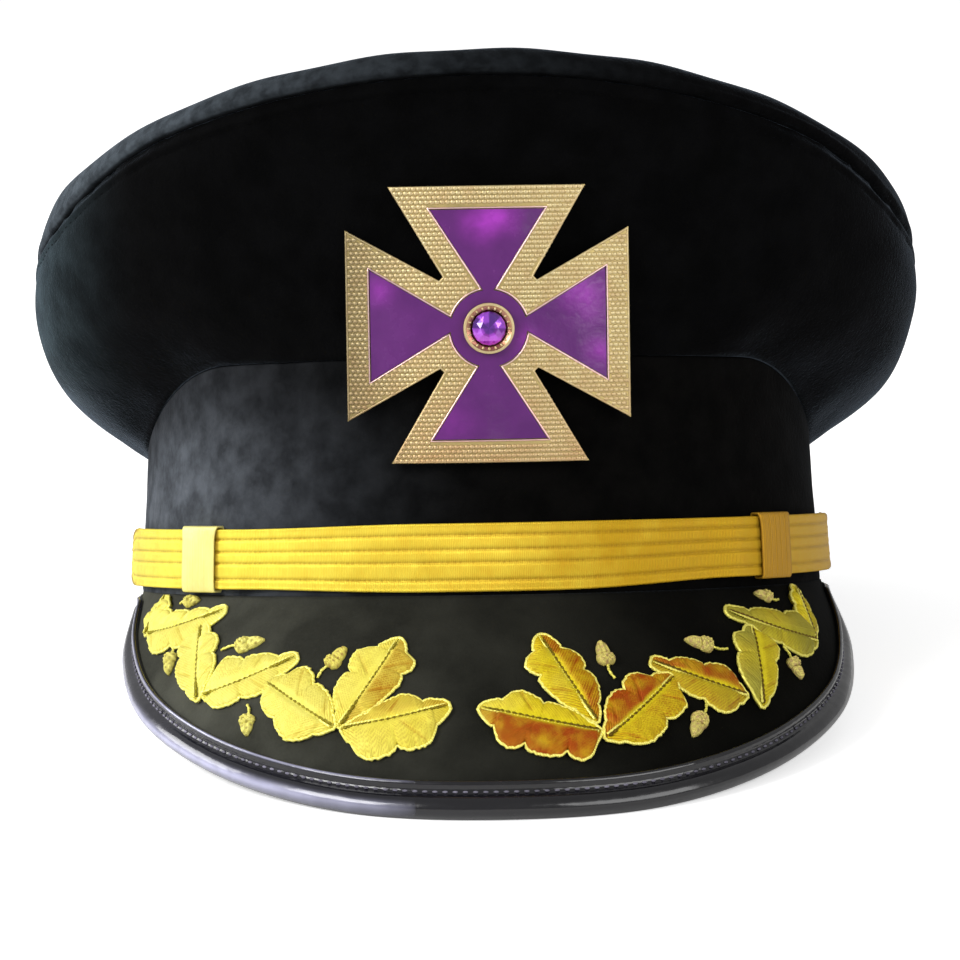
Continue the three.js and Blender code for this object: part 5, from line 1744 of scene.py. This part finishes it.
class CAP_OT_leaves(bpy.types.Operator):
    """Leaves: padded satin halves, veins, corded edges and a stitched midrib, whose dark dotted cord is
    painted shade of its groove
    """

    bl_idname = "cap.leaves"
    bl_label = "Oak leaves"

    def execute(self, context):
        gold = context.scene.cap_gold
        for node, row in LEAVES.items():
            self.leaf(node, row, gold)
        return {"FINISHED"}

    def leaf(self, node, row, gold):
        base, tip = row["base"], row["tip"]
        length = line_length(base, tip)
        at = np.linspace(0, 1, int(length / 0.2))
        ragged = 1 + 0.025 * np.sin(2 * np.pi * at * length / 1.7 + 1.5 * np.sin(at * length))
        plus, minus = (ragged * lobed_edge(row[side], length, at) for side in ("plus", "minus"))
        place, side = np.meshgrid(at, np.linspace(-1, 1, 37))
        reach = np.where(side > 0, plus, minus)
        off = side * reach
        lift, gaps = self.padding(row, place * length, off, side, reach, gold)
        floor = 0.12 + 0.3 * row["layer"]
        face = beside_line(base, tip, place, off, floor + lift)
        back = beside_line(base, tip, place, off, BACK_LIFT)
        satin, faces, places = grid_mesh(face, back)
        parts = [(satin, faces.tolist()), *self.cords(row, at, length, plus, minus, floor)]
        points, faces, counts = joined(parts)
        cords = len(points) - len(satin)
        loose = np.array([corner for polygon in faces[counts[0] :] for corner in polygon])
        cord_uv = np.column_stack([points[loose] @ CORD_RUN, (loose - len(satin)) % CORD_SIDES * 0.4])
        satin_uv = np.stack([place * length, off], axis=-1)[places[..., 0], places[..., 1]]
        uv = np.concatenate([satin_uv.reshape(-1, 2), cord_uv])
        # Painted shade on each half, from the table
        deep = np.where(side > 0, *row["deep"]) * smooth(np.abs(side), 0.05, 0.2)
        dull = row.get("dull", (0.0, 0.0))
        quiet = np.where(side > 0, *dull) * (0.8 + 0.2 * np.sin(place * 9))
        red = np.concatenate([np.tile(np.clip(deep + gaps, 0, 1).ravel(), 2), np.zeros(cords)])
        green = np.concatenate([np.tile(quiet.ravel(), 2), np.full(cords, 0.55 * sum(dull) / 2)])
        tone = np.column_stack([red, green, 0 * red])
        index = np.repeat([0, 1, 1, 2], counts)
        materials = [MATERIALS["satin"], MATERIALS["cord"], MATERIALS["midrib shade cord"]]
        piece = make_object(f"{node}_satin", points, faces, materials, "gold_thread", uv, tone, index)
        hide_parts(node)

    def padding(self, row, run, off, side, reach, gold):
        """Height of the satin, two rounded halves with strands and veins, and how dark its gaps are: painted
        shade between the strands and in the veins.
        """
        height = gold.relief / MM * np.minimum(1, reach / 5)
        dome = np.sqrt(np.maximum(0, 1 - np.abs(side) ** 2.6))
        valley = 1 - 0.5 * bell(off, 0.9)
        lift = 0.35 + (height - 0.35) * dome * valley
        strand = gold.strand / MM
        wave = np.cos(2 * np.pi * (run - 0.9 * np.abs(off)) / strand)
        lift += 0.17 * wave * dome
        gaps = 0.5 * smooth(-wave, 0.1, 1.0) * smooth(np.abs(side), 0.1, 0.3)
        between = smooth(np.abs(off), 0.8, 2.0) * (1 - smooth(np.abs(side), 0.8, 0.98))
        for lobes, hand in ((row["plus"], 1), (row["minus"], -1)):
            for along, reach_off in lobes:
                away = (run - (along - (reach_off - np.abs(off)) * 0.75)) * 0.8
                mask = (side * hand > 0) * between
                lift -= 0.3 * bell(away, 0.4) * mask
                gaps = gaps + 0.35 * bell(away, 0.35) * mask
        return lift, gaps

    def cords(self, row, at, length, plus, minus, floor):
        """A bright cord along both edges, and along the middle a bright one and then a dark dotted one, which
        stands for the shade in the midrib's groove as painted shade.
        """
        thin = at[::3]
        up, down = (
            beside_line(row["base"], row["tip"], thin, off, floor + 0.42) for off in (plus[::3], -minus[::3])
        )
        loop = np.concatenate([up, down[::-1]])
        keep = np.linalg.norm(loop - np.roll(loop, 1, axis=0), axis=-1) > 0.12
        loop = loop[keep]
        along = row["base"][0] * 0.5 + row["tip"][0] * 0.5
        out = row["base"][1] * 0.5 + row["tip"][1] * 0.5
        normal = visor_normal(np.array(along), np.array(out))[None]
        edge = tube(loop, normal, 0.42, CORD_SIDES, closed=True, rope=1.5)
        rib_at = np.linspace(0.03, 0.97, int(length / 0.3))
        taper = np.minimum(1, (1.02 - rib_at) * 5)
        bright_line, groove_shade_line = (
            beside_line(row["base"], row["tip"], rib_at, off, floor + up)
            for off, up in ((0.55, 1.15), (-0.1, 1.1))
        )
        bright = tube(bright_line, normal, 0.32 * taper, CORD_SIDES, rope=1.3)
        dots = 1 + 0.35 * np.cos(2 * np.pi * rib_at * length / 1.5)
        dark = tube(groove_shade_line, normal, 0.36 * taper * dots, CORD_SIDES)
        return edge, bright, dark


class CAP_OT_acorns(bpy.types.Operator):
    """Acorns: a thin stem, a cup of knots and a smooth nut"""

    bl_idname = "cap.acorns"
    bl_label = "Acorns"

    def execute(self, context):
        for node, row in ACORNS.items():
            self.acorn(node, row)
        return {"FINISHED"}

    def acorn(self, node, row):
        base, tip, half = row["base"], row["tip"], row["half"]
        length = line_length(base, tip)
        cup, nut = np.array([0.5, 0.86, 0.94, 0.92, 0.8]), np.array([0.7, 0.7, 0.62, 0.42, 0.12])
        parts = [
            self.cushion(base, tip, (0.34, 0.64), half * cup, 1.7, length, knots=True),
            self.cushion(base, tip, (0.6, 1.0), half * nut, 1.3, length, knots=False),
        ]
        stem_at = np.linspace(-0.04, 0.4, 24)
        bend = 0.5 * np.sin(stem_at / 0.4 * math.pi)
        stem = beside_line(base, tip, stem_at, bend, 0.6)
        normal = visor_normal(np.array(base[0]), np.array(base[1]))[None]
        parts.append(tube(stem, normal, 0.36, CORD_SIDES, rope=1.4))
        points, faces, counts = joined(parts)
        index = np.repeat([0, 0, 1], counts)
        corners = points[[corner for polygon in faces for corner in polygon]]
        uv = np.column_stack([corners @ CORD_RUN, corners @ KNOT_RUN])
        # Painted shade in spots over the cup and the nut, a little more on the wearer's left, the shaded side
        gaps = 1.1 * np.sin(points[:, 0] * 3.1) * np.cos(points[:, 2] * 2.7 + points[:, 1] * 2.2)
        red = np.clip(gaps, 0, 1) + (0.1 if "left" in node else 0.0)
        green = np.full(len(points), 0.65 if base[0] > 0.0 else 0.3)
        tone = np.column_stack([np.clip(red, 0, 1), green, 0 * red])
        materials = [MATERIALS["knots"], MATERIALS["cord"]]
        piece = make_object(f"{node}_knots", points, faces, materials, "gold_thread", uv, tone, index)
        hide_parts(node)

    def cushion(self, base, tip, span, widths, height, length, knots):
        """A padded part of an acorn over a span of its line, with knots or with strands along it."""
        place, side = np.meshgrid(np.linspace(*span, 40), np.linspace(-1, 1, 25))
        share = (place - span[0]) / (span[1] - span[0])
        reach = through(widths, share * (len(widths) - 1))
        ends = np.sqrt(np.clip(np.minimum(share, 1 - share) * 6, 0.02, 1))
        dome = np.sqrt(np.maximum(0, 1 - np.abs(side) ** 2.2)) * ends
        run = place * length
        if knots:
            pattern = 0.36 * np.cos(2 * np.pi * run / 1.2) * np.cos(2 * np.pi * side * reach / 1.3)
        else:
            pattern = 0.2 * np.cos(2 * np.pi * side * reach / 1.1)
        lift = 0.4 + height * dome + pattern * dome
        face = beside_line(base, tip, place, side * reach, lift)
        back = beside_line(base, tip, place, side * reach, BACK_LIFT)
        points, faces, _ = grid_mesh(face, back)
        return points, faces.tolist()


# Stage
CAMERA_PLACE = (-27.7, -999.6, 27.4)
CAMERA_YAW = math.radians(1.6)
CAMERA_ROLL = math.radians(1.0)


def aim(obj, place, target):
    obj.location = place
    obj.rotation_euler = (Vector(target) - Vector(place)).to_track_quat("-Z", "Y").to_euler()


class CAP_OT_stage(bpy.types.Operator):
    """Stage: the pale floor, the soft lights and the camera"""

    bl_idname = "cap.stage"
    bl_label = "Floor, lights and camera"

    def execute(self, context):
        studio = context.scene.cap_studio
        bpy.ops.object.select_all(action="DESELECT")
        bpy.ops.mesh.primitive_plane_add(size=14)
        floor = bpy.context.object
        floor.name = "floor"
        floor.data.materials.append(floor_material("Pale floor", studio.floor, studio.glow))
        self.light("key_light", studio.key, 1.2, (-1.5, -1.1, 1.2), (0, 0, 0.1))
        self.light("side_light", studio.side, 1.0, (-1.7, 0.45, 0.75), (0, 0, 0.1))
        self.light("fill_light", studio.fill, 1.4, (1.15, -1.2, 0.85), (0.03, 0, 0.05))
        context.scene.view_settings.view_transform = "Standard"
        self.room(context.scene, studio.sky)
        self.camera(context.scene, studio.lens)
        return {"FINISHED"}

    def light(self, name, power, size, place, target):
        data = bpy.data.lights.new(name, "AREA")
        data.energy = power
        data.shape = "RECTANGLE"
        data.size = size
        data.size_y = size * 0.7
        lamp = bpy.data.objects.new(name, data)
        bpy.context.scene.collection.objects.link(lamp)
        aim(lamp, place, target)

    def room(self, scene, strength):
        world = bpy.data.worlds.new("White room")
        world.use_nodes = True
        tree = world.node_tree
        tree.nodes["Background"].inputs["Color"].default_value = (1, 1, 1, 1)
        seen = add(tree, "ShaderNodeLightPath").outputs["Is Camera Ray"]
        tree.links.new(ranged(tree, seen, 0, 1, strength, 1.0), tree.nodes["Background"].inputs["Strength"])
        scene.world = world

    def camera(self, scene, lens):
        data = bpy.data.cameras.new("photo_camera")
        data.lens = lens
        data.sensor_width = 36
        data.clip_end = 50
        camera = bpy.data.objects.new("photo_camera", data)
        scene.collection.objects.link(camera)
        across = np.array([math.cos(CAMERA_YAW), -math.sin(CAMERA_YAW), 0])
        ahead = np.array([math.sin(CAMERA_YAW), math.cos(CAMERA_YAW), 0])
        up = np.array([0, 0, 1.0])
        right = across * math.cos(CAMERA_ROLL) - up * math.sin(CAMERA_ROLL)
        top = across * math.sin(CAMERA_ROLL) + up * math.cos(CAMERA_ROLL)
        axes = np.stack([right, top, -ahead]) @ TURN.T
        matrix = Matrix(axes.T.tolist()).to_4x4()
        matrix.translation = Vector(to_world(np.array(CAMERA_PLACE)))
        camera.matrix_world = matrix
        scene.camera = camera


SETTINGS = {
    "cap_cloth": CapClothSettings,
    "cap_gold": CapGoldSettings,
    "cap_badge": CapBadgeSettings,
    "cap_studio": CapStudioSettings,
}
OPERATORS = (
    CAP_OT_stage,
    CAP_OT_crown,
    CAP_OT_band,
    CAP_OT_visor,
    CAP_OT_binding,
    CAP_OT_strap,
    CAP_OT_badge,
    CAP_OT_leaves,
    CAP_OT_acorns,
)


class CAP_PT_panel(bpy.types.Panel):
    """Lists the cap's pieces and their settings"""

    bl_idname = "CAP_PT_panel"
    bl_label = "Fatigue cap"
    bl_space_type = "VIEW_3D"
    bl_region_type = "UI"
    bl_category = "Cap"

    def draw(self, context):
        for operator in OPERATORS:
            self.layout.operator(operator.bl_idname)
        for name, settings in SETTINGS.items():
            box = self.layout.box()
            box.label(text=settings.__doc__)
            for key in settings.__annotations__:
                box.prop(getattr(context.scene, name), key)


CLASSES = (*SETTINGS.values(), *OPERATORS, CAP_PT_panel)


def register():
    for made in CLASSES:
        bpy.utils.register_class(made)
    for name, settings in SETTINGS.items():
        setattr(bpy.types.Scene, name, bpy.props.PointerProperty(type=settings))


def unregister():
    for name in SETTINGS:
        delattr(bpy.types.Scene, name)
    for made in reversed(CLASSES):
        bpy.utils.unregister_class(made)


def main():
    register()
    make_materials(bpy.context.scene)
    for operator in OPERATORS:
        kind, name = operator.bl_idname.split(".")
        getattr(getattr(bpy.ops, kind), name)()


if __name__ == "__main__":
    main()
